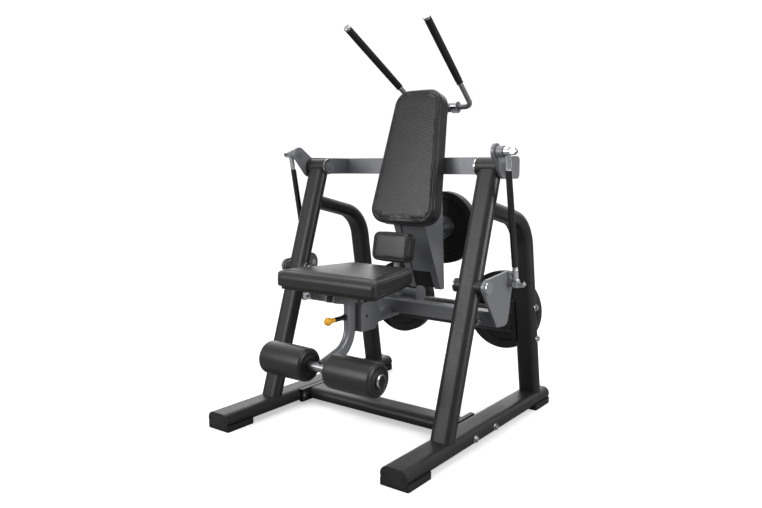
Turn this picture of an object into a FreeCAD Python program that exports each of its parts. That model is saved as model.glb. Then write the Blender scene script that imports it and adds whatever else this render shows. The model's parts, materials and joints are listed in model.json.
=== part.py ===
import FreeCAD
import Part
import math
import os
from FreeCAD import Vector

# Plate-loaded abdominal crunch machine, in millimetres.
# X runs across the machine (x = 0 is its middle plane), Y from the front ends
# of the base rails to the back, Z up from the floor.  The shapes are made with
# y = 0 at the rail fronts and moved at the end, so that the origin is on the
# floor under the middle of the machine.

# ---- side frames ----
sideX = 461.0
tubeWall = 3.0
railLength = 1180.0
railWidth = 120.0
railHeight = 60.0
railBottom = 14.0
railTop = railBottom + railHeight
railMid = railBottom + railHeight / 2
capThickness = 5.0
capPlugLength = 15.0
capScrewX = 42.0
capScrewRadius = 4.0
bootLength = 148.0
bootWall = 2.5
bootHeight = 27.0
bootEdge = 6.0

uprightWidth = 100.0
uprightDepth = 60.0
uprightFootY = 321.3
uprightLean = 18.27
upperPivotZ = 1113.5
lowerPivotZ = 645.0

postWidth = 100.0
postDepth = 60.0
postFootY = 1092.0
postSlope = 0.17
postCornerDrop = 238.8
postArmRise = 12.8
postBendRadius = 165.0

# ---- cross tubes and their bolts ----
baseTubeY = 552.0
baseTubeWidth = 120.0
baseTubeHeight = 56.0
baseFlangeLength = 206.0
rearTubeZ = 408.0
rearTubeHeight = 120.0
rearTubeDepth = 60.0
rearFlangeHeight = 196.0
flangeThickness = 10.0
frameBoltRadius = 6.0
frameBoltPitch = 74.0
baseBoltPitch = 83.0
washerRadius = 15.0
washerThickness = 2.5
boltHeadAcross = 20.0
boltHeadHeight = 8.0

# ---- pivots ----
upperHousingRadius = 36.0
upperHousingLength = 110.0
upperShaftRadius = 15.0
lowerHousingRadius = 28.0
lowerHousingLength = 120.0
lowerShaftRadius = 14.0
bearingLength = 20.0
runClearance = 0.05
sideGap = 1.5
lowerCapInset = 1.0
bearingRingLength = 5.0
retainerThickness = 7.0

# ---- linkage ----
crankThickness = 12.0
crankCorner = 20.0
upperLeverForward = 77.5
upperLeverRise = 57.5
upperLobeRadius = 33.0
upperBossRadius = 23.0
upperCrankRise = 42.5
upperCrankDrop = 49.5
upperCrankTail = 18.0
lobeNeckBack = 30.0
lobeNeckHollow = 15.0
lowerLeverBack = 180.2
lowerLeverDrop = 2.0
lowerLobeRadius = 33.0
lowerShoulderRadius = 48.0
lowerShoulderForward = 17.0
lowerHeelRadius = 35.0
lowerHeelBack = 41.0
lowerToeRadius = 20.0
lowerToeForward = 11.0
lowerToeDrop = 12.0
lowerBossRadius = 16.0
lowerHubRadius = 25.0
lowerBossLength = 19.0
linkPlaneOut = 112.5
linkPinRadius = 8.0
linkPinTail = 5.5
linkPinHeadRadius = 14.0
linkPinHeadLength = 4.0
linkNutAcross = 24.0
linkNutLength = 20.0
openPivotClearance = 3.0
rodEyeRadius = 18.5
rodEyeWidth = 24.0
rodEyeChamfer = 3.0
rodNeckRadius = 12.0
lockNutAcross = 22.0
lockNutLength = 12.0
linkTubeRadius = 13.0
linkShankRadius = 8.0
linkShankLength = 72.0
shankGrip = 20.0
eyeSideGap = 0.5

# ---- torso arm ----
yokeHeight = 75.0
yokeDepth = 50.0
yokeLegWidth = 50.0
yokeWall = 4.0
yokeLegIn = 33.0
yokeRise = 3.0
yokePadGap = 5.5
yokeStubBack = 80.5
padTilt = 14.47
backPadFootY = 673.0
backPadFootZ = 872.0
backPadLength = 603.0
backPadThickness = 74.0
backPadLowHalf = 170.0
backPadHighHalf = 125.0
backPadCorner = 60.0
boardThickness = 10.0
boardInset = 14.0
spineWidth = 104.0
spineThickness = 8.0
spineInset = 8.0
spineBottomZ = 622.0
bumperDepth = 32.0
sideBarGap = 0.5
boardGap = 0.2
sideBarThickness = 34.0
sideBarWall = 3.0
sideBarCorner = 6.0
sideBarYokeGap = 0.5
sideBarTopDepth = 76.0
sideBarFootY = 911.0
sideBarFootZ = 543.0
sideBarFootDepth = 22.0
hornRadius = 25.0
hornReach = 171.0
hornGrooveDepth = 2.0
hornGrooveWidth = 4.0
hornTipLength = 60.0
stopFlangeRadius = 57.0
stopFlangeThickness = 8.0
workHornZ = 817.0
workPlateY = 1045.0
hornRootDepth = 24.0
hornRootRise = 30.0
hornRootDrop = 45.0
hornRootForward = 12.0
mastRadius = 24.0
mastWall = 3.0
handleTubeY = 1055.0
handleTubeZ = 1394.0
handleTubeRadius = 21.5
handleTubeHalf = 45.0

# ---- handles ----
handleRodRadius = 12.0
handleRodWall = 3.5
gripGlueGap = 0.1
handleSpigotStart = 1.0
collarGap = 0.4
collarChamfer = 2.0
collarRadius = 26.0
collarLength = 30.0
handleElbowX = 148.0
handleBendRadius = 42.0
gripRadius = 16.5
gripLength = 400.0
gripFromElbow = 178.0
gripAim = (206.7, 575.9, 1714.8)
capPocket = 0.6
gripCapRadius = 17.5
gripCapLength = 12.0
gripCapRound = 3.0
gripRingLength = 6.0

# ---- weight plates ----
plateRadius = 187.0
workPlateRadius = 177.0
plateThickness = 46.0
plateSlope = 8.0
plateChamfer = 3.0
plateWeb = 22.0
plateRimWidth = 34.0
plateHubRadius = 52.0
plateBoreClearance = 0.6
storageHornX = 297.0
storageHornZ = 431.5
storagePlateY = 1113.0

# ---- seat carriage ----
lowerBeamSize = 60.0
lowerBeamY = 614.0
lowerBeamZ = 505.0
lowerBeamWall = 4.0
lowerBeamCorner = 6.0
seatArmWidth = 66.0
seatArmHeight = 52.0
seatArmFrontY = 400.0
seatArmZ = 462.0
seatArmSlope = 0.05625
armBoltForward = 30.0
armBoltPitch = 40.0
armBoltAcross = 19.0
armBoltHeight = 10.0
armBoltSunk = 1.0
cheekThickness = 6.0
cheekHalf = 35.0
cheekCorner = 12.0
cheekHoleRadius = 6.5
cheekHoleY = 389.0
cheekHoleZ = 493.0
cheekFrontGap = 8.0
cheekBackY = 490.0
cheekHeelForward = 48.0
cheekHeelRise = 36.0
cheekHeadForward = 36.0
cheekBottomZ = 429.0
cheekTopZ = 552.0
guideDepth = 22.0
guideSlotDepth = 15.0
guideBottomZ = 429.0
riserDepth = 30.0
riserBackY = 470.0
bracketPlateThickness = 8.0
bracketPlateHalf = 90.0
bracketPlateFrontY = 200.0
bracketPlateBackY = 520.0
legTubeWidth = 30.0
legTubeDepth = 60.0
legTubeY = 325.0
legTubeTopZ = 575.0
legTubeDrop = 16.0
legTubeBendRadius = 110.0
legGap = 1.0
gussetThickness = 6.0
gussetGap = 1.0
gussetCorner = 8.0
gussetDepth = 49.0
gussetNoseDepth = 23.0
gussetHeelY = 292.0
seatFrontY = 158.0
seatBackY = 548.0
seatFrontHalf = 254.0
seatBackHalf = 168.0
seatBottomZ = 622.0
seatTopZ = 691.0
seatCorner = 20.0
seatEdgeRound = 15.0
seatBoardThickness = 12.0
seatBoardInset = 12.0
lumbarTilt = 10.5
lumbarFootY = 594.0
lumbarFootZ = 701.0
lumbarHeight = 127.0
lumbarHalf = 97.0
lumbarThickness = 58.0
lumbarCorner = 30.0
lumbarBoardInset = 8.0
lumbarPostWidth = 28.0
lumbarPostDepth = 16.0
lumbarPostTopZ = 790.0
padEdgeRound = 16.0
hingeDiscY = 672.0
hingeDiscZ = 553.0
hingeDiscRadius = 38.0
hingeDiscHalf = 112.0
hingeDiscThickness = 12.0
hingeTubeRadius = 22.0
hingeLugHalf = 40.0
stopDrop = 10.0
stopNutAcross = 34.0
stopNutLength = 10.0
stopShankRadius = 8.0
stopReach = 42.0
stopHeadRadius = 18.0
stopHeadLength = 10.0
stopCupRadius = 12.0
stopCupDepth = 4.0

# ---- leg rollers and pull pin ----
rollerY = 144.0
rollerZ = 319.0
rollerRadius = 70.0
rollerInnerX = 58.0
rollerOuterX = 290.0
rollerSleeveRadius = 24.0
rollerBoreClearance = 0.08
axleRadius = 19.0
axleWall = 4.0
axleCapRadius = 27.0
axleCapLength = 12.0
axleCapRound = 5.0
rollerRimRound = 14.0
axleSaddleHalf = 60.0
rollerEndGap = 1.0
pinZ = 498.0
pinBarrelRadius = 10.0
pinBarrelLength = 70.0
barrelNutAcross = 24.0
barrelNutLength = 10.0
pinRadius = 5.0
pinHold = 8.0
pinShankInKnob = 6.0
pinClearance = 0.05
knobGap = 0.5
knobRadius = 17.0
knobLength = 52.0
knobNeckRadius = 10.0
knobWaistRadius = 8.0
legTravel = 60.0
pinSlotMargin = 2.0

# ---- derived places ----
leanTan = math.tan(math.radians(uprightLean))
upperPivotY = uprightFootY + (upperPivotZ - railTop) * leanTan
lowerPivotY = uprightFootY + (lowerPivotZ - railTop) * leanTan
upperLinkY = upperPivotY - upperLeverForward
upperLinkZ = upperPivotZ + upperLeverRise
lowerLinkY = lowerPivotY + lowerLeverBack
lowerLinkZ = lowerPivotZ - lowerLeverDrop
upperHousingOuterX = sideX + upperHousingLength / 2
upperHousingInnerX = sideX - upperHousingLength / 2
lowerHousingOuterX = sideX + lowerHousingLength / 2
lowerHousingInnerX = sideX - lowerHousingLength / 2
upperCrankX = upperHousingOuterX + sideGap
linkPlaneX = sideX + linkPlaneOut
eyeInnerX = linkPlaneX - rodEyeWidth / 2
eyeOuterX = linkPlaneX + rodEyeWidth / 2
lowerCrankX = eyeInnerX - eyeSideGap - lowerBossLength - crankThickness
linkPinTipX = eyeOuterX + eyeSideGap + washerThickness + linkNutLength + linkPinTail
tiltTan = math.tan(math.radians(padTilt))
tiltCos = math.cos(math.radians(padTilt))
tiltSin = math.sin(math.radians(padTilt))
yokeMidZ = upperPivotZ + yokeRise
yokeStubY = upperPivotY + yokeStubBack
yokeLegInnerX = sideX - yokeLegIn
yokeTopZ = yokeMidZ + yokeHeight / 2
yokeBottomZ = yokeMidZ - yokeHeight / 2
boardBack = backPadThickness + boardThickness
boardBackAtYoke = backPadFootY + boardBack / tiltCos + (yokeTopZ - backPadFootZ) * tiltTan
yokeFrontY = boardBackAtYoke + yokePadGap
sideBarRise = yokeBottomZ - sideBarYokeGap - backPadFootZ
sideBarUp = (sideBarRise + (boardBack + boardGap) * tiltSin) / tiltCos
crankRearY = yokeStubY + yokeDepth / 2 + upperCrankTail
crankTopZ = upperPivotZ + upperCrankRise
crankBottomZ = upperPivotZ - upperCrankDrop
lowerBeamFrontY = lowerBeamY - lowerBeamSize / 2
lowerBeamBackY = lowerBeamY + lowerBeamSize / 2
bracketTopZ = seatBottomZ - seatBoardThickness
bracketPlateZ = bracketTopZ - bracketPlateThickness
guideFrontY = legTubeY + legTubeDepth / 2 + legGap
stopZ = lowerBeamZ - stopDrop
postCornerZ = upperPivotZ - postCornerDrop
postCornerY = postFootY - (postCornerZ - railTop) * postSlope
rearTubeY = postFootY - (rearTubeZ - railTop) * postSlope
storageHornTipY = storagePlateY + hornReach
frontShift = -storageHornTipY / 2
alongX = Vector(1, 0, 0)
alongY = Vector(0, 1, 0)
alongZ = Vector(0, 0, 1)


# ---- shape helpers ----
def box(x0, x1, y0, y1, z0, z1):
    return Part.makeBox(x1 - x0, y1 - y0, z1 - z0, Vector(x0, y0, z0))


def rod(start, axis, radius, length):
    return Part.makeCylinder(radius, length, start, axis)


def rodX(x0, x1, y, z, radius):
    return rod(Vector(x0, y, z), alongX, radius, x1 - x0)


def ringX(x0, x1, y, z, outer, inner):
    return rodX(x0, x1, y, z, outer).cut(rodX(x0 - 1, x1 + 1, y, z, inner))


def both(shape):
    """The shape and its mirror image across the middle plane."""
    return [shape, shape.mirror(Vector(0, 0, 0), alongX)]


def mirrored(shape):
    return shape.mirror(Vector(0, 0, 0), alongX)


def group(shapes):
    solids = []
    for shape in shapes:
        solids.extend(shape.Solids)
    return Part.makeCompound(solids)


def flatOval(centre, wide, narrow, width, height):
    """Flat-oval outline: two straight sides joined by half circles."""
    flat = (width - height) / 2
    r = height / 2
    a = centre + wide * flat + narrow * r
    b = centre + wide * (flat + r)
    c = centre + wide * flat - narrow * r
    d = centre - wide * flat - narrow * r
    e = centre - wide * (flat + r)
    f = centre - wide * flat + narrow * r
    arc1 = Part.Arc(a, b, c).toShape()
    arc2 = Part.Arc(d, e, f).toShape()
    side1 = Part.makeLine(c, d)
    side2 = Part.makeLine(f, a)
    return Part.Wire([arc1, side1, arc2, side2])


def ovalBar(start, end, wide, width, height):
    """Solid straight flat-oval bar from start to end."""
    axis = end - start
    narrow = axis.cross(wide).normalize()
    face = Part.Face(flatOval(start, wide, narrow, width, height))
    return face.extrude(axis)


def ovalTube(start, end, wide, width, height, wall):
    outer = ovalBar(start, end, wide, width, height)
    inner = ovalBar(start, end, wide, width - 2 * wall, height - 2 * wall)
    return outer.cut(inner)


def roundedPath(points, radius):
    """Straight runs between the points, joined by tangent arcs."""
    edges = []
    last = points[0]
    for before, here, after in zip(points, points[1:], points[2:]):
        back = (before - here).normalize()
        ahead = (after - here).normalize()
        half = back.getAngle(ahead) / 2
        trim = radius / math.tan(half)
        inward = (back + ahead).normalize()
        first = here + back * trim
        second = here + ahead * trim
        middle = here + inward * (radius / math.sin(half) - radius)
        edges.append(Part.makeLine(last, first))
        edges.append(Part.Arc(first, middle, second).toShape())
        last = second
    edges.append(Part.makeLine(last, points[-1]))
    return Part.Wire(edges)


def bentOvalBar(points, radius, width, height):
    """Flat-oval bar bent in the YZ plane, its wide side along X."""
    path = roundedPath(points, radius)
    run = (points[1] - points[0]).normalize()
    profile = flatOval(points[0], alongX, run.cross(alongX), width, height)
    shell = Part.BRepOffsetAPI.MakePipeShell(path)
    shell.setBiNormalMode(alongX)
    shell.add(profile)
    shell.build()
    shell.makeSolid()
    return shell.shape()


def bentOvalTube(points, radius, width, height, wall):
    outer = bentOvalBar(points, radius, width, height)
    inner = bentOvalBar(points, radius, width - 2 * wall, height - 2 * wall)
    return outer.cut(inner)


def bentRod(points, bend, radius):
    path = roundedPath(points, bend)
    run = points[1] - points[0]
    profile = Part.Wire(Part.makeCircle(radius, points[0], run))
    return path.makePipeShell([profile], True, False)


def roundedOutline(circles):
    """Closed outline round circles given counter-clockwise as (u, v, r)."""
    count = len(circles)
    normals = []
    for i in range(count):
        u0, v0, r0 = circles[i]
        u1, v1, r1 = circles[(i + 1) % count]
        du = u1 - u0
        dv = v1 - v0
        dist = math.hypot(du, dv)
        lean = (r0 - r1) / dist
        level = math.sqrt(1 - lean * lean)
        nu = dv / dist * level + du / dist * lean
        nv = -du / dist * level + dv / dist * lean
        normals.append((nu, nv))
    edges = []
    for i in range(count):
        u, v, r = circles[i]
        u2, v2, r2 = circles[(i + 1) % count]
        inU, inV = normals[i - 1]
        outU, outV = normals[i]
        midU = inU + outU
        midV = inV + outV
        size = math.hypot(midU, midV)
        arcStart = Vector(u + inU * r, v + inV * r, 0)
        arcMid = Vector(u + midU / size * r, v + midV / size * r, 0)
        arcEnd = Vector(u + outU * r, v + outV * r, 0)
        lineEnd = Vector(u2 + outU * r2, v2 + outV * r2, 0)
        edges.append(Part.Arc(arcStart, arcMid, arcEnd).toShape())
        edges.append(Part.makeLine(arcEnd, lineEnd))
    return Part.Wire(edges)


def sidePlate(circles, x0, thickness):
    """Plate square to X whose outline goes round circles (y, z, r)."""
    face = Part.Face(roundedOutline(circles))
    plate = face.extrude(Vector(0, 0, thickness))
    turn = FreeCAD.Rotation(alongY, alongZ, alongX, "ZXY")
    plate.Placement = FreeCAD.Placement(alongX * x0, turn)
    return plate


def outlineOffset(circles, inset):
    return [(u, v, r - inset) for u, v, r in circles]


def leanPlacement(footY, footZ, tilt):
    """Frame with local X across, local Y up the lean, local Z to the front."""
    spin = FreeCAD.Rotation(alongX, 90.0 - tilt)
    return FreeCAD.Placement(Vector(0, footY, footZ), spin)


def hexPrism(start, axis, across, length):
    """Hexagonal bar, as for a nut or a bolt head."""
    side = alongZ if abs(axis.dot(alongZ)) < 0.5 else alongX
    other = axis.cross(side)
    radius = across / math.sqrt(3)
    corners = []
    for i in range(6):
        angle = math.radians(60 * i)
        out = side * (radius * math.cos(angle))
        corners.append(start + out + other * (radius * math.sin(angle)))
    corners.append(corners[0])
    face = Part.Face(Part.makePolygon(corners))
    return face.extrude(axis * length)


def fused(shapes):
    whole = shapes[0]
    for shape in shapes[1:]:
        whole = whole.fuse(shape)
    return whole.removeSplitter()


# ---- side frames ----
def railBar(extra):
    """Solid outer shape of the right base rail, grown by extra."""
    start = Vector(sideX, 0, railMid)
    end = Vector(sideX, railLength, railMid)
    return ovalBar(start, end, alongX, railWidth + 2 * extra, railHeight + 2 * extra)


def baseRail():
    start = Vector(sideX, capThickness, railMid)
    end = Vector(sideX, railLength - capThickness, railMid)
    rail = ovalTube(start, end, alongX, railWidth, railHeight, tubeWall)
    for bolt in baseBoltLines():
        rail = rail.cut(bolt)
    return rail


def railCap(y, inward):
    """End cap: a cover the size of the rail and a hollow plug inside it."""
    coverEnd = y + inward * capThickness
    cover = ovalBar(
        Vector(sideX, y, railMid), Vector(sideX, coverEnd, railMid), alongX, railWidth, railHeight)
    plug = ovalTube(
        Vector(sideX, coverEnd, railMid), Vector(sideX, coverEnd + inward * capPlugLength, railMid),
        alongX, railWidth - 2 * tubeWall, railHeight - 2 * tubeWall, tubeWall)
    cap = fused([cover, plug])
    for side in (-capScrewX, capScrewX):
        hole = rod(Vector(sideX + side, y, railMid), alongY * inward, capScrewRadius, capThickness / 2)
        cap = cap.cut(hole)
    return cap


def railCaps():
    shapes = []
    for cap in (railCap(0, 1), railCap(railLength, -1)):
        shapes.extend(both(cap))
    return group(shapes)


def rubberBoot(y0):
    half = railWidth / 2 + bootWall
    block = box(sideX - half, sideX + half, y0, y0 + bootLength, 0, bootHeight)
    upright = [edge for edge in block.Edges if abs(edge.tangentAt(edge.FirstParameter).z) > 0.9]
    block = block.makeFillet(bootEdge, upright)
    return block.cut(railBar(0))


def rubberFeet():
    shapes = []
    for y0 in (0, railLength - bootLength):
        shapes.extend(both(rubberBoot(y0)))
    return group(shapes)


def uprightPoint(z):
    return Vector(sideX, uprightFootY + (z - railTop) * leanTan, z)


def uprightBar():
    return ovalBar(uprightPoint(railMid), uprightPoint(upperPivotZ), alongX, uprightWidth, uprightDepth)


def frontUpright():
    tube = ovalTube(
        uprightPoint(railMid), uprightPoint(upperPivotZ), alongX, uprightWidth, uprightDepth, tubeWall)
    tube = tube.cut(railBar(0))
    tube = tube.cut(upperHousingBar())
    tube = tube.cut(lowerHousingBar())
    return largestSolid(tube)


def largestSolid(shape):
    return max(shape.Solids, key=lambda solid: solid.Volume)


def postPoints():
    foot = Vector(sideX, postFootY + (railTop - railMid) * postSlope, railMid)
    corner = Vector(sideX, postCornerY, postCornerZ)
    rise = math.tan(math.radians(postArmRise))
    meetY = uprightFootY + (postCornerZ - railTop + postCornerY * rise) * leanTan
    meetY = meetY / (1 + rise * leanTan)
    meet = Vector(sideX, meetY, postCornerZ + (postCornerY - meetY) * rise)
    return [foot, corner, meet]


def postBar():
    return bentOvalBar(postPoints(), postBendRadius, postWidth, postDepth)


def rearPost():
    tube = bentOvalTube(postPoints(), postBendRadius, postWidth, postDepth, tubeWall)
    tube = tube.cut(railBar(0)).cut(uprightBar())
    for bolt in rearBoltLines():
        tube = tube.cut(bolt)
    return largestSolid(tube)


# ---- cross tubes ----
def baseBoltPlaces():
    return [(baseTubeY - baseBoltPitch, railMid), (baseTubeY + baseBoltPitch, railMid)]


def rearBoltPlaces():
    places = []
    for z in (rearTubeZ - frameBoltPitch, rearTubeZ + frameBoltPitch):
        places.append((postFootY - (z - railTop) * postSlope, z))
    return places


def baseBoltLines():
    x1 = sideX + railWidth
    return [rodX(sideX - railWidth, x1, y, z, frameBoltRadius) for y, z in baseBoltPlaces()]


def rearBoltLines():
    x1 = sideX + postWidth
    return [rodX(sideX - postWidth, x1, y, z, frameBoltRadius) for y, z in rearBoltPlaces()]


def flangedTube(tube, flange, neighbour, bolts):
    """Cross tube with a flange shaped to the round side of the side frame."""
    flange = flange.cut(neighbour)
    for bolt in bolts:
        flange = flange.cut(bolt)
    return fused([tube, flange, mirrored(flange)])


def baseCrossTube():
    face = sideX - railWidth / 2
    inner = face - flangeThickness
    tube = ovalTube(
        Vector(-inner, baseTubeY, railMid), Vector(inner, baseTubeY, railMid),
        alongY, baseTubeWidth, baseTubeHeight, tubeWall)
    half = baseFlangeLength / 2
    flange = box(
        inner, face + flangeThickness, baseTubeY - half, baseTubeY + half, railBottom, railTop)
    return flangedTube(tube, flange, railBar(0), baseBoltLines())


def rearCrossTube():
    face = sideX - postWidth / 2
    inner = face - flangeThickness
    tube = ovalTube(
        Vector(-inner, rearTubeY, rearTubeZ), Vector(inner, rearTubeY, rearTubeZ),
        alongZ, rearTubeHeight, rearTubeDepth, tubeWall)
    for x in (-storageHornX, storageHornX):
        tube = tube.cut(rod(Vector(x, rearTubeY, storageHornZ), alongY, hornRadius, rearTubeDepth))
    half = rearFlangeHeight / 2
    low = Vector(0, postFootY - (rearTubeZ - half - railTop) * postSlope, rearTubeZ - half)
    high = Vector(0, postFootY - (rearTubeZ + half - railTop) * postSlope, rearTubeZ + half)
    reach = rearTubeDepth / 2
    corners = [
        Vector(inner, low.y - reach, low.z), Vector(inner, low.y + reach, low.z),
        Vector(inner, high.y + reach, high.z), Vector(inner, high.y - reach, high.z),
        Vector(inner, low.y - reach, low.z)]
    flange = Part.Face(Part.makePolygon(corners)).extrude(alongX * (2 * flangeThickness))
    return flangedTube(tube, flange, postBar(), rearBoltLines())


def throughBolt(y, z, innerX, outerX):
    """Bolt through a side frame: shank, washers, head outside, nut inside."""
    shank = rodX(innerX, outerX, y, z, frameBoltRadius)
    parts = [shank]
    parts.append(rodX(outerX, outerX + washerThickness, y, z, washerRadius))
    head = Vector(outerX + washerThickness, y, z)
    parts.append(hexPrism(head, alongX, boltHeadAcross, boltHeadHeight))
    parts.append(rodX(innerX - washerThickness, innerX, y, z, washerRadius))
    nut = Vector(innerX - washerThickness, y, z)
    parts.append(hexPrism(nut, -alongX, boltHeadAcross, boltHeadHeight))
    return fused(parts)


def frameFasteners():
    shapes = []
    for y, z in baseBoltPlaces():
        inner = sideX - railWidth / 2 - flangeThickness
        bolt = throughBolt(y, z, inner, sideX + railWidth / 2)
        shapes.extend(both(bolt))
    for y, z in rearBoltPlaces():
        inner = sideX - postWidth / 2 - flangeThickness
        bolt = throughBolt(y, z, inner, sideX + postWidth / 2)
        shapes.extend(both(bolt))
    return group(shapes)


def weightHorn(x, z, startY, plateY):
    """Horn with its stop flange; a groove sets off the free end."""
    tip = plateY + hornReach
    horn = rod(Vector(x, startY, z), alongY, hornRadius, tip - startY)
    flange = rod(
        Vector(x, plateY - stopFlangeThickness, z), alongY, stopFlangeRadius, stopFlangeThickness)
    grooveY = tip - hornTipLength - hornGrooveWidth
    groove = rod(Vector(x, grooveY, z), alongY, hornRadius + 1, hornGrooveWidth)
    core = rod(Vector(x, grooveY, z), alongY, hornRadius - hornGrooveDepth, hornGrooveWidth)
    return horn.fuse(flange).cut(groove.cut(core))


def storageHorns():
    horn = weightHorn(storageHornX, storageHornZ, rearTubeY + 2 * tubeWall, storagePlateY)
    return group(both(horn))


# ---- pivots ----
def upperHousingBar():
    return rodX(upperHousingInnerX, upperHousingOuterX, upperPivotY, upperPivotZ, upperHousingRadius)


def lowerHousingBar():
    return rodX(lowerHousingInnerX, lowerHousingOuterX, lowerPivotY, lowerPivotZ, lowerHousingRadius)


def housing(bar, innerX, outerX, y, z, radius, shaft):
    """Bearing housing, wider inside at both ends where the bearings sit."""
    seat = radius - 2 * tubeWall
    shape = bar.cut(rodX(innerX - 1, outerX + 1, y, z, shaft + tubeWall))
    shape = shape.cut(rodX(innerX - 1, innerX + bearingLength, y, z, seat))
    return shape.cut(rodX(outerX - bearingLength, outerX + 1, y, z, seat))


def upperHousing():
    return housing(
        upperHousingBar(), upperHousingInnerX, upperHousingOuterX,
        upperPivotY, upperPivotZ, upperHousingRadius, upperShaftRadius)


def lowerHousing():
    return housing(
        lowerHousingBar(), lowerHousingInnerX, lowerHousingOuterX,
        lowerPivotY, lowerPivotZ, lowerHousingRadius, lowerShaftRadius)


def bearingPair(innerX, outerX, y, z, radius, shaft):
    outer = radius - 2 * tubeWall
    bore = shaft + runClearance
    first = ringX(innerX, innerX + bearingLength, y, z, outer, bore)
    second = ringX(outerX - bearingLength, outerX, y, z, outer, bore)
    return [first, second]


def pivotBearings():
    pair = bearingPair(
        upperHousingInnerX, upperHousingOuterX, upperPivotY, upperPivotZ,
        upperHousingRadius, upperShaftRadius)
    pair += bearingPair(
        lowerHousingInnerX, lowerHousingOuterX, lowerPivotY, lowerPivotZ,
        lowerHousingRadius, lowerShaftRadius)
    shapes = []
    for bearing in pair:
        shapes.extend(both(bearing))
    return group(shapes)


def bearingRings():
    """Bright dust rings on the inner ends of the housings."""
    upper = ringX(
        upperHousingInnerX - bearingRingLength, upperHousingInnerX, upperPivotY, upperPivotZ,
        upperHousingRadius, upperHousingRadius - tubeWall)
    lower = ringX(
        lowerHousingInnerX - bearingRingLength, lowerHousingInnerX, lowerPivotY, lowerPivotZ,
        lowerHousingRadius, lowerHousingRadius - tubeWall)
    return group(both(upper) + both(lower))


def pivotShaft(innerX, crankX, y, z, shaft, discRadius, capRadius):
    """Shaft, inner retaining disc with its bolt head, and outer cap."""
    discX = innerX - sideGap
    parts = [rodX(discX, crankX + crankThickness, y, z, shaft)]
    parts.append(rodX(discX - retainerThickness, discX, y, z, discRadius))
    bolt = Vector(discX - retainerThickness, y, z)
    parts.append(hexPrism(bolt, -alongX, boltHeadAcross, boltHeadHeight))
    outer = crankX + crankThickness
    parts.append(rodX(outer, outer + retainerThickness, y, z, capRadius))
    return fused(parts)


def upperShafts():
    shaft = pivotShaft(
        upperHousingInnerX, upperCrankX, upperPivotY, upperPivotZ, upperShaftRadius,
        upperHousingRadius - 2 * tubeWall, upperHousingRadius - tubeWall)
    return group(both(shaft))


def lowerShafts():
    shaft = pivotShaft(
        lowerHousingInnerX, lowerCrankX, lowerPivotY, lowerPivotZ, lowerShaftRadius,
        lowerHousingRadius - 2 * tubeWall, lowerHousingRadius - lowerCapInset)
    return group(both(shaft))


# ---- cranks and link pins ----
def upperCrank():
    """Right upper crank: link lobe in front, pivot, and a square rear end."""
    inset = crankCorner / 4
    lobe = (upperLinkY, upperLinkZ, upperLobeRadius)
    heel = (upperPivotY - inset, upperPivotZ - inset, upperCrankDrop - inset)
    backLow = (crankRearY - crankCorner, crankBottomZ + crankCorner, crankCorner)
    backHigh = (crankRearY - crankCorner, crankTopZ - crankCorner, crankCorner)
    shoulder = (upperPivotY, crankTopZ - crankCorner, crankCorner)
    front = sidePlate([lobe, heel, shoulder], upperCrankX, crankThickness)
    back = sidePlate([heel, backLow, backHigh, shoulder], upperCrankX, crankThickness)
    plate = fused([front, back, lobeNeck()])
    bossEnd = eyeInnerX - eyeSideGap
    plate = plate.fuse(rodX(upperCrankX, bossEnd, upperLinkY, upperLinkZ, upperBossRadius))
    plate = plate.cut(rodX(upperCrankX, linkPinTipX, upperLinkY, upperLinkZ, linkPinRadius))
    outer = upperCrankX + crankThickness
    return plate.cut(rodX(upperCrankX - 1, outer + 1, upperPivotY, upperPivotZ, upperShaftRadius))


def lobeNeck():
    """Hollow curve from the lobe down to the flat top edge of the crank."""
    lobeSide = upperLobeRadius * math.sqrt(0.5)
    lowY = upperPivotY + lobeNeckBack
    top = Vector(0, upperLinkY + lobeSide, upperLinkZ + lobeSide)
    low = Vector(0, lowY, crankTopZ)
    across = (low - top).cross(alongX).normalize()
    middle = (top + low) * 0.5 + across * lobeNeckHollow
    foot = Vector(0, lowY, upperPivotZ)
    heel = Vector(0, upperLinkY, upperPivotZ + crankCorner)
    edges = [Part.Arc(top, middle, low).toShape(), Part.makeLine(low, foot)]
    edges += [Part.makeLine(foot, heel), Part.makeLine(heel, top)]
    neck = Part.Face(Part.Wire(edges)).extrude(alongX * crankThickness)
    neck.translate(alongX * upperCrankX)
    return neck


def lowerCrank():
    """Right lower crank: pivot lobe in front, link pin behind, beam below."""
    pivot = (lowerPivotY, lowerPivotZ, lowerLobeRadius)
    shoulder = (lowerLinkY - lowerShoulderForward, lowerLinkZ, lowerShoulderRadius)
    heel = (lowerBeamY + lowerHeelBack, lowerBeamZ, lowerHeelRadius)
    toe = (lowerBeamY - lowerToeForward, lowerBeamZ - lowerToeDrop, lowerToeRadius)
    plate = sidePlate([pivot, toe, heel, shoulder], lowerCrankX, crankThickness)
    boss = rodX(lowerCrankX, eyeInnerX - eyeSideGap, lowerLinkY, lowerLinkZ, lowerBossRadius)
    hub = rodX(lowerHousingOuterX + sideGap, lowerCrankX, lowerPivotY, lowerPivotZ, lowerHubRadius)
    plate = fused([plate, boss, hub])
    plate = plate.cut(rodX(lowerCrankX, linkPinTipX, lowerLinkY, lowerLinkZ, linkPinRadius))
    outer = lowerCrankX + crankThickness
    inner = lowerHousingOuterX
    return plate.cut(rodX(inner, outer + 1, lowerPivotY, lowerPivotZ, lowerShaftRadius))


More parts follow.
